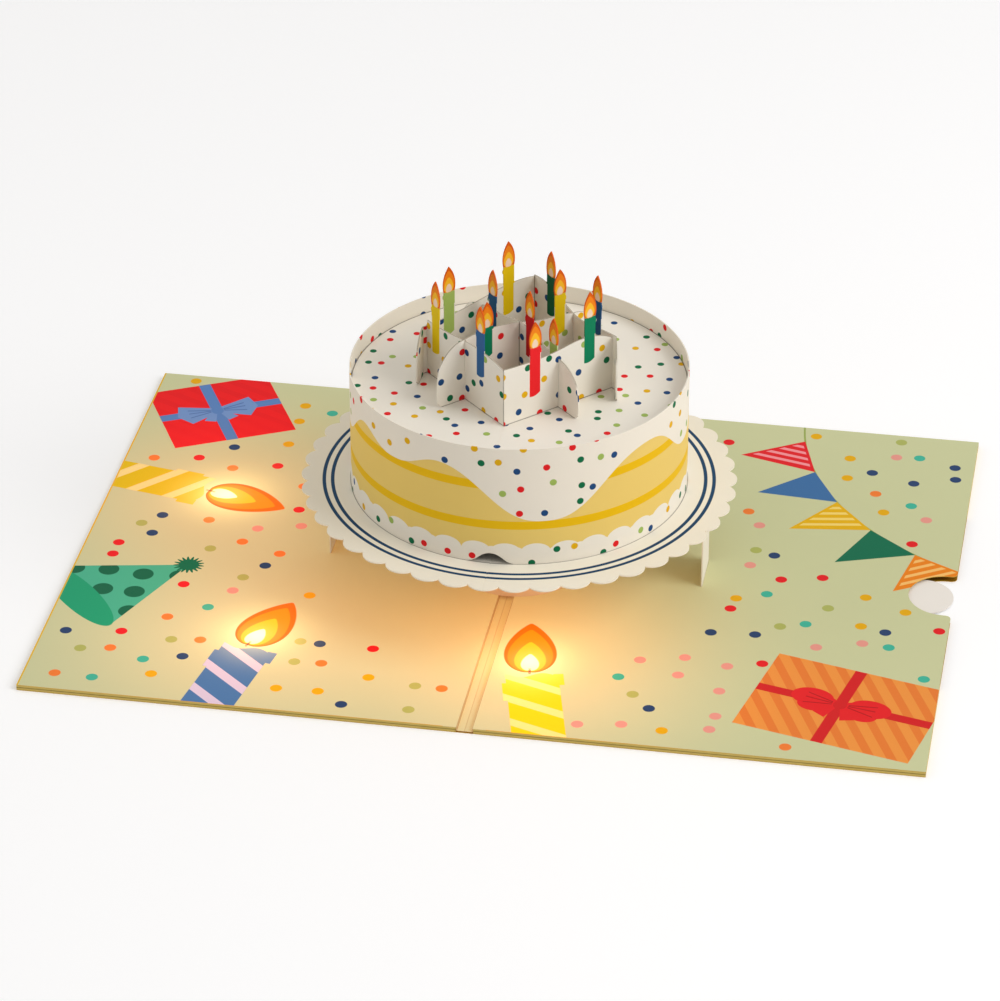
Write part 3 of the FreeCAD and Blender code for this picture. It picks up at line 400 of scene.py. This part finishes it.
parcels = [
    {"centre": (-103.5, 68.6), "turn": 27, "half": (18.8, 17.4), "wrap": (236, 22, 26), "line": (231, 19, 25),
     "ribbon": (88, 130, 190), "bow": (112, 148, 202), "fold": (74, 110, 170), "ribbonHalf": 1.8,
     "bowHalf": 12.6, "puffed": False},
    {"centre": (100.6, -61.6), "turn": -13.5, "half": (25.3, 18.8), "wrap": (238, 148, 64),
     "line": (230, 124, 50), "ribbon": (210, 28, 30), "bow": (228, 30, 34), "fold": (180, 18, 22),
     "ribbonHalf": 1.7, "bowHalf": 14.4, "puffed": True},
]
parcelLook = {"lineRun": (0.8, 0.6), "linePitch": 5.4, "lineWide": 2.5, "crossing": (-1.0, 1.0),
              "foldSlopes": (-0.24, 0.04, 0.26), "foldHalf": 0.22, "knotHalf": (1.9, 2.3)}
# a bow's outlines are shares of its half width, but the feet at the knot are in mm
bowLook = {"fan": [(0.72, -0.46), (1.0, -0.05), (0.88, 0.42)], "fanFoot": (0.2, 1.4),
           "neck": [(0.5, -0.3), (0.5, 0.3)], "neckFoot": (0.2, 1.2),
           "lobes": [(0.58, 0.9, 0.42, 0.3), (0.5, -2.6, 0.3, 0.22)],  # place, lift in mm, half sizes
           "tail": [(0.16, -0.52), (0.42, -0.4)], "tailFoot": (1.2, 0.6), "foldReach": (0.16, 0.7)}


def sized(points, half):
    return [(x * half, y * half) for x, y in points]


def bowShape(across, along, side, half, puffed):  # one loop of a bow, as a fan or as a puffed loop
    outline = "neck" if puffed else "fan"
    foot, footHalf = bowLook[outline + "Foot"]
    spot = join(across * side, along)
    loop = corners(spot, [(foot, -footHalf), *sized(bowLook[outline], half), (foot, footHalf)])
    if puffed:
        for place, lift, halfLong, halfWide in bowLook["lobes"]:
            lobe = ellipse(across * side - half * place, along - lift, half * halfLong, half * halfWide)
            loop = loop & lobe
    return loop


def printParcel(spot, colour, parcel):
    look = parcelLook
    across, along = localSpot(spot, parcel["centre"], parcel["turn"])
    wrap = oblong(across, along, *parcel["half"])
    colour = layer(colour, inside(wrap), tint(*parcel["wrap"]))
    run = across * look["lineRun"][0] + along * look["lineRun"][1]
    lines = stripes(run, look["linePitch"], look["lineWide"]) | wrap
    colour = layer(colour, inside(lines), tint(*parcel["line"]))
    across = across - look["crossing"][0]
    along = along - look["crossing"][1]
    ribbon = (abs(across) & abs(along)) - parcel["ribbonHalf"] | wrap
    colour = layer(colour, inside(ribbon), tint(*parcel["ribbon"]))
    half = parcel["bowHalf"]
    nearest, farthest = bowLook["foldReach"]
    for side in (-1, 1):
        outline = [(0.0, 0.0), *sized(bowLook["tail"], half), bowLook["tailFoot"]]
        tail = corners(join(across * side, along), outline)
        loop = bowShape(across, along, side, half, parcel["puffed"])
        colour = layer(colour, inside(tail & loop), tint(*parcel["bow"]))
        for slope in look["foldSlopes"]:
            crease = abs(along - across * (side * slope)) - look["foldHalf"]
            reach = (across * side - half * farthest) | (half * nearest - across * side)
            colour = layer(colour, inside(crease | reach | loop), tint(*parcel["fold"]))
    return layer(colour, inside(ellipse(across, along, *look["knotHalf"])), tint(*parcel["ribbon"]))


hat = {"apex": (-93.2, -19.6), "left": (-133.0, -27.0), "right": (-108.0, -55.0), "felt": (72, 176, 142),
       "spot": (10, 96, 66), "inner": (30, 156, 112), "tuft": (8, 104, 70), "mouthHalf": 5.4,
       "tuftRadius": 3.7, "rays": 17, "rayLong": 0.8, "tuftRound": 4.5, "mouthRound": 16.0,
       "dots": {"pitch": 10.2, "radius": 3.0, "scatter": 0.12, "seed": 0.35, "tints": [(0, 0, 0)]}}
hatMouth = [(a + b) / 2 for a, b in zip(hat["left"], hat["right"])]


def printHat(spot, colour):
    cone = corners(spot, [hat["apex"], hat["left"], hat["right"]])
    wide = math.hypot(hat["left"][0] - hat["right"][0], hat["left"][1] - hat["right"][1])
    turn = math.degrees(math.atan2(hat["right"][1] - hat["left"][1], hat["right"][0] - hat["left"][0]))
    across, along = localSpot(spot, hatMouth, turn)
    mouth = ellipse(across, along, wide / 2, hat["mouthHalf"])
    colour = layer(colour, inside(cone & mouth), tint(*hat["felt"]))
    dots, _, _ = confetti(spot, hat["dots"])
    colour = layer(colour, dots & inside(cone), tint(*hat["spot"]))
    colour = layer(colour, inside(mouth), tint(*hat["inner"]))
    u, v = localSpot(spot, hat["apex"], 0)
    rays = (u.sum("ARCTAN2", v, u) * hat["rays"]).apply("COSINE") * hat["rayLong"]
    tuft = (u * u + v * v) ** 0.5 - hat["tuftRadius"] - rays
    return layer(colour, inside(tuft), tint(*hat["tuft"]))


bunting = {"centre": (163.0, 96.0), "radius": 90.0, "from": 189.8, "to": 247.8, "drop": 20.0,
           "cord": (150, 166, 84), "cordHalf": 0.28, "skew": 0.03, "lineTurn": 62, "linePitch": 3.1,
           "lineWide": 1.3, "lineEdge": 0.9, "tints": [
               ((224, 30, 38), (246, 150, 156)), ((60, 108, 160), (60, 108, 160)),
               ((228, 176, 8), (244, 214, 112)), ((0, 104, 72), (0, 104, 72)),
               ((234, 130, 22), (248, 192, 108))]}


def printBunting(spot, colour):
    look = bunting
    centreX, centreY = look["centre"]
    cord = abs(distanceFrom(spot, look["centre"]) - look["radius"]) - look["cordHalf"]
    colour = layer(colour, inside(cord), tint(*look["cord"]))
    step = (look["to"] - look["from"]) / len(look["tints"])
    for index, (flagTint, lineTint) in enumerate(look["tints"]):
        first = math.radians(look["from"] + step * index)
        last = math.radians(look["from"] + step * (index + 1))
        middle = (first + last) / 2 - look["skew"]
        points = []
        for angle, radius in ((last, 0), (first, 0), (middle, look["drop"])):
            reach = look["radius"] + radius
            points.append((centreX + math.cos(angle) * reach, centreY + math.sin(angle) * reach))
        flag = corners(spot, points)
        colour = layer(colour, inside(flag), tint(*flagTint))
        if flagTint != lineTint:
            across, _ = localSpot(spot, points[0], math.degrees(middle) + look["lineTurn"])
            lines = stripes(across, look["linePitch"], look["lineWide"]) | (flag + look["lineEdge"])
            colour = layer(colour, inside(lines), tint(*lineTint))
    return colour


def clearOfPrint(spot):  # 1 where a dot's centre stands free of the printed things
    distance = corners(spot, [hat["apex"], hat["left"], hat["right"]])
    for parcel in parcels:
        across, along = localSpot(spot, parcel["centre"], parcel["turn"])
        distance = distance & oblong(across, along, *parcel["half"])
    tip = largeCandle["flameFoot"] + largeCandle["flameTall"]
    middle = (tip - largeCandle["long"]) / 2
    half = (largeCandle["halfWide"] + largeCandle["sideGap"], tip - middle)
    for candle in largeCandles:
        across, along = localSpot(spot, candle["lamp"], candle["lean"])
        distance = distance & oblong(across, along - middle, *half)
    flags = abs(distanceFrom(spot, bunting["centre"]) - bunting["radius"] - bunting["drop"] / 2)
    distance = distance & (flags - bunting["drop"] / 2)
    distance = distance & (distanceFrom(spot, hat["apex"]) - hat["tuftRound"])
    distance = distance & (distanceFrom(spot, hatMouth) - hat["mouthRound"])
    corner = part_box("inner_card")[1] * millimetres
    across, along, _ = split(spot)
    distance = distance & (corner.x - abs(across)) & (corner.y - abs(along))
    return inside(sheetPrint["dots"]["radius"] + sheetPrint["dotGap"] - distance, sharp)


def sheetMaterial():  # confetti, party things and three flames that glow
    material, spot = startMaterial("printedSheet")
    x, _, _ = split(spot)
    colour = plainColour(spot, tint(*sheetPrint["ground"]))
    dots, dotTint, (dotX, dotY) = confetti(spot, sheetPrint["dots"])
    away = inside(sheetPrint["clearReach"] - (dotX * dotX + dotY * dotY) ** 0.5, sharp)
    clear = inside(sheetPrint["spineHalf"] - abs(dotX), sharp)
    colour = layer(colour, dots & away & clear & clearOfPrint(join(dotX, dotY)), dotTint)
    colour = printBunting(spot, colour)
    colour = printHat(spot, colour)
    for parcel in parcels:
        colour = printParcel(spot, colour, parcel)
    rims = None
    halo = None
    core = None
    warm = None
    for candle, strength in zip(largeCandles, glowLook["warmStrengths"]):
        colour, rim = printLargeCandle(spot, colour, candle)
        distance = distanceFrom(spot, candle["lamp"])
        nearOne = fade(distance, glowLook["haloReach"])
        coreOne = fade(distance, glowLook["coreReach"])
        warmOne = fade(distance, glowLook["warmReach"]) * strength
        rims = rim if rims is None else rims | rim
        halo = nearOne if halo is None else halo + nearOne
        core = coreOne if core is None else core + coreOne
        warm = warmOne if warm is None else warm + warmOne
    # painted shade in the spine channel, at its two folds and its middle crease
    spineFoldShade = inside(abs(abs(x) - sheetPrint["foldAt"]) - sheetPrint["foldHalf"])
    lines = spineFoldShade | inside(abs(x) - sheetPrint["middleHalf"]) * sheetPrint["middleShare"]
    colour = layer(colour, lines * sheetPrint["spineFoldShadeDepth"], tint(*sheetPrint["spineFoldShadeTint"]))
    edge = inside(facing(spot, 2) - topFrom, facingBlur) & inside(sheetPrint["spineHalf"] - abs(x))
    colour = layer(colour, edge, tint(*sheetPrint["edge"]))
    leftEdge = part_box("inner_card")[0].x * millimetres
    colour = layer(colour, inside(x - leftEdge - sheetPrint["rimWide"]), tint(*sheetPrint["rim"]))
    glow = times(colour, lightOf(warm, *glowLook["warmTint"]))
    bright = halo * (1 - rims * glowLook["haloUnderFlame"]) * glowLook["haloStrength"] * (1 - edge)
    glow = addTints(glow, lightOf(bright, *glowLook["haloTint"]))
    whitest = core * (1 - rims * glowLook["coreUnderFlame"]) * glowLook["coreStrength"] * (1 - edge)
    glow = addTints(glow, lightOf(whitest, *glowLook["coreTint"]))
    return closePaper(material, colour, paperGrain(spot, paperLook), glow)


dress("inner_card", sheetMaterial())
print("printed sheet done")

# the cake's side, its top, the plate and the candle walls
partyTints = [(24, 70, 122), (226, 26, 32), (226, 174, 10), (158, 184, 92), (0, 106, 66)]
cakePrint = {
    "icing": (240, 233, 219),
    "sponge": (236, 204, 112),
    "jam": (236, 188, 2),
    "level": 31.0,  # mm above the plate where no icing runs down
    "runs": [(-150, 20, 9.0), (-112, 15, 12.0), (-74, 13, 10.0), (-37, 13, 5.2), (18, 23, 17.2),
             (84, 15, 11.0), (128, 18, 7.0), (166, 14, 12.0)],  # degrees from the front, width, depth
    "runSquare": 2.6,  # 2 is a round run, and more is a squarer one
    "jamLevels": [12.5, 25.0],
    "jamHalf": 1.3,
    "borders": [(3.9, 36, 2.8, 0), (3.2, 49, 2.4, 3)],  # level, count, bulge and turn of the scallops
    "insideFrom": 0.3,  # plain icing where the paper faces outwards by less than this
    "dotInset": 0.3,
    "dots": {"pitch": 7.1, "radius": 1.0, "scatter": 0.66, "seed": 5.0, "tints": partyTints},
}


def icingDistance(degrees, height):  # below 0 where icing covers the sponge
    edge = None
    for centre, wide, deep in cakePrint["runs"]:
        fall = (abs((degrees - centre).apply("WRAP", 180, -180)) / wide) ** cakePrint["runSquare"]
        run = (fall * -1).apply("EXPONENT") * deep
        edge = run if edge is None else edge + run
    distance = (cakePrint["level"] - edge) - height
    for level, count, bulge, turn in cakePrint["borders"]:
        scallop = ((degrees + turn) * (count / 360)).apply("FRACT") * 2 - 1
        border = height - (1 - scallop * scallop) ** 0.5 * bulge - level
        distance = distance & border
    return distance


def cakeSideMaterial():
    material, spot = startMaterial("cakePrint")
    x, y, z = split(spot)
    centreX, centreY = middleOf("cake_band")
    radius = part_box("cake_band")[1].x * millimetres - centreX
    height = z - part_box("plate")[1].z * millimetres
    angle = x.sum("ARCTAN2", x, centreY - y)
    wrap = angle * radius
    colour = plainColour(spot, tint(*cakePrint["sponge"]))
    for place in cakePrint["jamLevels"]:
        colour = layer(colour, inside(abs(height - place) - cakePrint["jamHalf"]), tint(*cakePrint["jam"]))
    outward = (x * facing(spot, 0) + (y - centreY) * facing(spot, 1)) / radius
    inner = inside(outward - cakePrint["insideFrom"], facingBlur)
    icing = inside(icingDistance(angle * math.degrees(1), height)) | inner
    colour = layer(colour, icing, tint(*cakePrint["icing"]))
    dots, dotTint, (dotWrap, dotHeight) = confetti(join(wrap, height), cakePrint["dots"])
    dotDistance = icingDistance(dotWrap * (math.degrees(1) / radius), dotHeight)
    near = inside(dotDistance + cakePrint["dotInset"], sharp) | inner
    colour = layer(colour, dots & near, dotTint)
    return closePaper(material, colour, paperGrain(spot, paperLook))


topPrint = {"icing": (240, 234, 222), "rimInset": 0.7, "creaseShadeDepth": 0.8,
            "dots": {"pitch": 6.9, "radius": 0.98, "scatter": 0.66, "seed": 11.0, "tints": partyTints}}


def cakeTopMaterial():
    material, spot = startMaterial("cakeTopPrint")
    dots, dotTint, _ = confetti(spot, topPrint["dots"])
    colour = layer(plainColour(spot, tint(*topPrint["icing"])), dots & topMask(spot), dotTint)
    centre = middleOf("cake_band")
    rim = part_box("cake_band")[1].x * millimetres - centre[0] - topPrint["rimInset"]
    # painted shade in a ring inside the rim, where the band rises above the cake top
    colour = paintCreaseShade(colour, rim - distanceFrom(spot, centre), topPrint["creaseShadeDepth"])
    return closePaper(material, colour, paperGrain(spot, paperLook))


platePrint = {"stock": (241, 235, 220), "ring": (18, 62, 98), "radii": [53.4, 55.8], "ringHalf": 0.52,
              "footHalf": 0.26, "creaseShadeDepth": 0.7}


def plateMaterial():
    material, spot = startMaterial("plateStock")
    reach = distanceFrom(spot, middleOf("plate"))
    rings = None
    for radius in platePrint["radii"]:
        ring = abs(reach - radius) - platePrint["ringHalf"]
        rings = ring if rings is None else rings & ring
    colour = plainColour(spot, tint(*platePrint["stock"]))
    colour = layer(colour, inside(rings) & topMask(spot), tint(*platePrint["ring"]))
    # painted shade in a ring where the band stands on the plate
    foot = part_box("cake_band")[1].x * millimetres
    colour = paintCreaseShade(colour, abs(reach - foot) - platePrint["footHalf"], platePrint["creaseShadeDepth"])
    return closePaper(material, colour, paperGrain(spot, paperLook))


waxTints = {"yellow": (230, 196, 8), "lime": (164, 190, 98), "navy": (28, 80, 124), "blue": (46, 94, 146),
            "green": (0, 126, 86), "forest": (0, 88, 54), "red": (238, 32, 38), "crimson": (200, 14, 22)}
# candles: place along the wall from the card's fold, tip and foot above the cake, wax
wallPrint = {
    "paper": (238, 232, 220),
    "cut": (178, 168, 150),
    "cutFrom": 0.45,  # a cut edge where the paper faces up or down by more than this
    "foldHalf": 0.13,
    "footShadeTall": 0.26,
    "creaseShadeDepth": 0.7,
    "candleHalf": 1.8,
    "dripOut": 0.45,
    "dripAbove": 19.5,
    "baseSlope": 0.22,
    "baseRound": 0.16,
    "flameTall": 7.8,
    "flameDrop": 0.3,
    "flameEdge": (222, 92, 4),
    "edgeHalf": 2.7,
    "flameTints": [(0.9, 2.0, (242, 132, 20)), (0.64, 1.55, (252, 190, 40)), (0.38, 1.0, (246, 216, 190))],
    "front_candle_wall": {"seed": 2.0, "candles": [
        (10.7, 29.5, 6.3, "red"), (29.4, 33.1, 11.0, "green"), (-11.1, 32.8, 10.6, "blue"),
        (-33.0, 31.0, 8.0, "yellow")]},
    "rear_candle_wall": {"seed": 7.0, "candles": [
        (7.9, 30.6, 9.9, "forest"), (30.1, 32.6, 13.8, "navy"), (-9.2, 33.2, 10.0, "yellow"),
        (-29.8, 31.4, 9.9, "lime")]},
    "candle_slice_left": {"seed": 13.0, "candles": [
        (-11.1, 28.4, 10.8, "green"), (14.0, 31.0, 10.4, "yellow")]},
    "candle_slice_right": {"seed": 17.0, "candles": [
        (16.4, 27.1, 9.0, "lime"), (5.0, 30.6, 9.6, "crimson"), (-13.0, 29.5, 11.3, "navy")]},
    "dots": {"pitch": 6.7, "radius": 1.02, "scatter": 0.6, "tints": partyTints},
}


def wallMaterial(name):  # confetti paper with candles that are cut from the same sheet
    material, spot = startMaterial(name + "Print")
    x, y, z = split(spot)
    along = x * math.sqrt(2)  # each panel stands at 45 degrees to the fold
    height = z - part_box("cake_top")[1].z * millimetres
    look = {**wallPrint["dots"], "seed": wallPrint[name]["seed"]}
    level = y * facing(spot, 0) - x * facing(spot, 1)  # along each panel, whichever way it is folded
    dots, dotTint, _ = confetti(join(level, height), look)
    colour = layer(plainColour(spot, tint(*wallPrint["paper"])), dots, dotTint)
    cut = inside(wallPrint["cutFrom"] - abs(facing(spot, 2)), facingBlur)
    colour = layer(colour, cut, tint(*wallPrint["cut"]))
    # painted shade at the panel's fold or slot, and along its foot on the cake top
    lines = (abs(x) - wallPrint["foldHalf"]) & (height - wallPrint["footShadeTall"])
    colour = paintCreaseShade(colour, lines, wallPrint["creaseShadeDepth"])
    for place, tip, foot, wax in wallPrint[name]["candles"]:
        neck = tip - wallPrint["flameTall"]
        across = along - place
        half = inside(wallPrint["dripAbove"] - height) * wallPrint["dripOut"] + wallPrint["candleHalf"]
        base = across * wallPrint["baseSlope"] + across * across * wallPrint["baseRound"] + foot
        body = (abs(across) - half) | (height - neck) | (base - height)
        colour = layer(colour, inside(body), tint(*waxTints[wax]))
        around = (abs(across) - wallPrint["edgeHalf"]) | (neck - height)
        colour = layer(colour, inside(around), tint(*wallPrint["flameEdge"]))
        for share, flameHalf, flameTint in wallPrint["flameTints"]:
            rise = height - neck + wallPrint["flameDrop"]
            flame = teardrop(across, rise, wallPrint["flameTall"] * share, flameHalf)
            colour = layer(colour, inside(flame, flameBlur), tint(*flameTint))
    return closePaper(material, colour, paperGrain(spot, paperLook))


dress("cake_band", cakeSideMaterial())
dress("cake_top", cakeTopMaterial())
dress("plate", plateMaterial())
for wallName in ("front_candle_wall", "rear_candle_wall", "candle_slice_left", "candle_slice_right"):
    dress(wallName, wallMaterial(wallName))
print("cake printed")

# plain card stock, the boards and the gold cover
stockLook = {"white": (240, 233, 220), "note": (240, 234, 226), "pedestal": (254, 216, 176),
             "boardEdge": (214, 188, 104), "boardLine": (150, 126, 62), "seamHalf": 0.13, "seamBlur": 0.1}
boardGrain = {**paperLook, "cloud": 0.3, "relief": 0.5, "unevenness": 0.12}
whiteStock = paperMaterial("whiteStock", stockLook["white"])
for name in ("left_strut", "right_strut"):
    dress(name, whiteStock)
# the pedestal's white stock is tinted peach: painted warm light from the flames
dress("pedestal_tube", paperMaterial("pedestalStock", stockLook["pedestal"]))
dress("note_card", paperMaterial("notePaper", stockLook["note"]))


def boardMaterial():  # grey board with gilded edges, and the seam where its two plies meet
    material, spot = startMaterial("coreBoard")
    _, _, z = split(spot)
    low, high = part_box("left_core")
    middle = (low.z + high.z) / 2 * millimetres
    seam = inside(abs(z - middle) - stockLook["seamHalf"], stockLook["seamBlur"])
    colour = plainColour(spot, tint(*stockLook["boardEdge"]))
    colour = layer(colour, seam, tint(*stockLook["boardLine"]))
    return closePaper(material, colour, paperGrain(spot, boardGrain))


boardStock = boardMaterial()
for name in ("left_core", "right_core"):
    dress(name, boardStock)

goldLook = {"gold": (206, 166, 44), "dark": (160, 122, 30), "rough": 0.34, "roughSpread": 0.2,
            "metal": 0.75, "stretch": (0.6, 8.0, 4.0), "detail": 3, "relief": 0.15, "reliefDepth": 0.00003}


def goldMaterial():  # metallic paper with a faint run of its own
    look = goldLook
    material, spot = startMaterial("goldSheet")
    stretched = spot.make("ShaderNodeMapping", None, {0: spot, 3: look["stretch"]})
    run = noise(stretched, 1.0, look["detail"])
    colour = layer(plainColour(spot, tint(*look["gold"])), run, tint(*look["dark"]))
    bump = spot.make("ShaderNodeBump", None,
                     {"Strength": look["relief"], "Distance": look["reliefDepth"], "Height": run})
    rough = run * look["roughSpread"] + look["rough"] - look["roughSpread"] / 2
    return closeMaterial(material, {"Base Color": colour, "Roughness": rough,
                                    "Metallic": look["metal"], "Normal": bump})


dress("outer_cover", goldMaterial())

# what lies between the boards
brassLook = {"tint": (214, 190, 120), "metal": 1.0, "rough": 0.3}
steelLook = {"tint": (196, 198, 200), "metal": 1.0, "rough": 0.28}
lampLook = {"tint": (240, 226, 150), "metal": 0.0, "rough": 0.25}
leadLook = {"tint": (190, 120, 70), "metal": 0.3, "rough": 0.4}
innerLook = {
    "battery_tray": {"tint": (44, 44, 48), "metal": 0.0, "rough": 0.55},
    "coin_cell_left": steelLook,
    "coin_cell_right": steelLook,
    "side_contacts": brassLook,
    "cell_bridge": brassLook,
    "switch_spring": brassLook,
    "switch_pad": brassLook,
    "circuit_board": {"tint": (30, 92, 60), "metal": 0.0, "rough": 0.4},
    "controller_chip": {"tint": (18, 18, 20), "metal": 0.0, "rough": 0.3},
    "led_rear": lampLook,
    "led_front": lampLook,
    "led_right": lampLook,
    "lead_rear": leadLook,
    "lead_front": leadLook,
    "lead_right": leadLook,
    "switch_tongue": {"tint": (226, 226, 220), "metal": 0.0, "rough": 0.35},
}


innerGrain = {"scale": 1.4, "detail": 3, "relief": 0.2, "reliefDepth": 0.00003, "unevenness": 0.14,
              "roughSpread": 0.1}


def innerMaterial(name, look):
    material, spot = startMaterial(name + "Finish")
    grain = noise(spot, innerGrain["scale"], innerGrain["detail"])
    bump = spot.make("ShaderNodeBump", None, {"Strength": innerGrain["relief"],
                                              "Distance": innerGrain["reliefDepth"], "Height": grain})
    shade = grain * innerGrain["unevenness"] + (1 - innerGrain["unevenness"] / 2)
    colour = shaded(plainColour(spot, tint(*look["tint"])), shade)
    rough = grain * innerGrain["roughSpread"] + look["rough"] - innerGrain["roughSpread"] / 2
    return closeMaterial(material, {"Base Color": colour, "Roughness": rough,
                                    "Metallic": look["metal"], "Normal": bump})


for name, look in innerLook.items():
    dress(name, innerMaterial(name, look))
print("plain finishes done")

# solder at both ends of each lamp: a fillet is modelled at each end, and all are joined into one piece
solderLook = {"foot": 0.00062, "sides": 16, "rings": [(0.00012, 0.86), (0.00014, 0.72), (0.0001, 0.45)],
              "apart": 0.00021, "tint": (188, 190, 192), "metal": 1.0, "rough": 0.22}


def solderFillet(place):  # a disc drawn up into a small dome
    bpy.ops.object.select_all(action="DESELECT")
    bpy.ops.mesh.primitive_circle_add(vertices=solderLook["sides"], radius=solderLook["foot"],
                                      fill_type="NGON", location=place)
    fillet = bpy.context.object
    bpy.ops.object.mode_set(mode="EDIT")
    for rise, narrow in solderLook["rings"]:
        bpy.ops.mesh.extrude_region_move(TRANSFORM_OT_translate={"value": (0, 0, rise)})
        bpy.ops.transform.resize(value=(narrow, narrow, 1))
    bpy.ops.mesh.select_all(action="SELECT")
    bpy.ops.mesh.normals_make_consistent(inside=False)
    bpy.ops.object.mode_set(mode="OBJECT")
    smooth = fillet.modifiers.new("smooth", "SUBSURF")
    smooth.levels = 1
    smooth.render_levels = 1
    bpy.ops.object.modifier_apply(modifier=smooth.name)
    bpy.ops.object.transform_apply(location=True, rotation=True, scale=True)
    bpy.ops.object.shade_smooth()
    return fillet


def solderJoints():
    fillets = []
    for name in lampNames:
        low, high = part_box(name)
        middle = (low.y + high.y) / 2
        for x in (low.x - solderLook["apart"], high.x + solderLook["apart"]):
            fillets.append(solderFillet((x, middle, low.z)))
    bpy.ops.object.select_all(action="DESELECT")
    for fillet in fillets:
        fillet.select_set(True)
    bpy.context.view_layer.objects.active = fillets[0]
    bpy.ops.object.join()
    joints = bpy.context.object
    joints.name = "solder_joints"
    joints.data.materials.append(innerMaterial("solder", solderLook))
    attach(joints, "card")


solderJoints()
print("solder joints done")

# floor, light and camera
stageLook = {"floorTint": (240, 240, 241), "floorReach": 6.0, "floorRough": 0.9, "floorLift": 0.19,
             "worldTint": (255, 253, 250), "worldStrength": 0.48, "lightAim": (0, 0, 0.03)}


def seenDirectly(tree):  # 1 for what the camera sees, straight or in a mirror or through glass
    seen = Wire(tree.nodes.new("ShaderNodeLightPath").outputs["Is Camera Ray"])
    return seen | seen.also("Is Glossy Ray") | seen.also("Is Transmission Ray")


def floorMaterial():  # pale, and a little paler to the camera, so that it keeps the shadow
    material = bpy.data.materials.new("paleFloor")
    material.use_nodes = True
    tree = material.node_tree
    shader = tree.nodes["Principled BSDF"]
    shader.inputs["Base Color"].default_value = tint(*stageLook["floorTint"])
    shader.inputs["Roughness"].default_value = stageLook["floorRough"]
    shader.inputs["Emission Color"].default_value = (1, 1, 1, 1)
    tree.links.new((seenDirectly(tree) * stageLook["floorLift"]).socket, shader.inputs["Emission Strength"])
    return material


bpy.ops.mesh.primitive_plane_add(size=stageLook["floorReach"])
floor = bpy.context.object
floor.name = "floor"
floor.data.materials.append(floorMaterial())

world = bpy.data.worlds.new("paleRoom")
bpy.context.scene.world = world
world.use_nodes = True
background = world.node_tree.nodes["Background"]
background.inputs[0].default_value = tint(*stageLook["worldTint"])
strength = seenDirectly(world.node_tree) * (1 - stageLook["worldStrength"]) + stageLook["worldStrength"]
world.node_tree.links.new(strength.socket, background.inputs[1])

lightLook = [
    {"name": "overhead", "place": (0.3, 0.35, 1.5), "size": 1.6, "power": 3.2},
    {"name": "rightSide", "place": (1.25, -0.3, 1.0), "size": 0.9, "power": 13.0},
    {"name": "leftSide", "place": (-1.3, -0.1, 0.7), "size": 0.9, "power": 2.5},
]


def aimed(piece, place):  # turns a light or the camera to face a place
    piece.rotation_euler = (Vector(place) - piece.location).to_track_quat("-Z", "Y").to_euler()


for look in lightLook:
    bpy.ops.object.light_add(type="AREA", location=look["place"])
    light = bpy.context.object
    light.name = look["name"]
    light.data.size = look["size"]
    light.data.energy = look["power"]
    aimed(light, stageLook["lightAim"])

cameraLook = {"place": (0.182918, -1.096701, 0.691181), "aim": (-0.011225, 0.033899, 0.0),
              "lens": 162.57, "nearest": 0.05}
bpy.ops.object.camera_add(location=cameraLook["place"])
camera = bpy.context.object
camera.data.lens = cameraLook["lens"]
camera.data.clip_start = cameraLook["nearest"]
aimed(camera, cameraLook["aim"])
bpy.context.scene.camera = camera
bpy.context.scene.view_settings.view_transform = "Standard"
print("stage, lights and camera set")
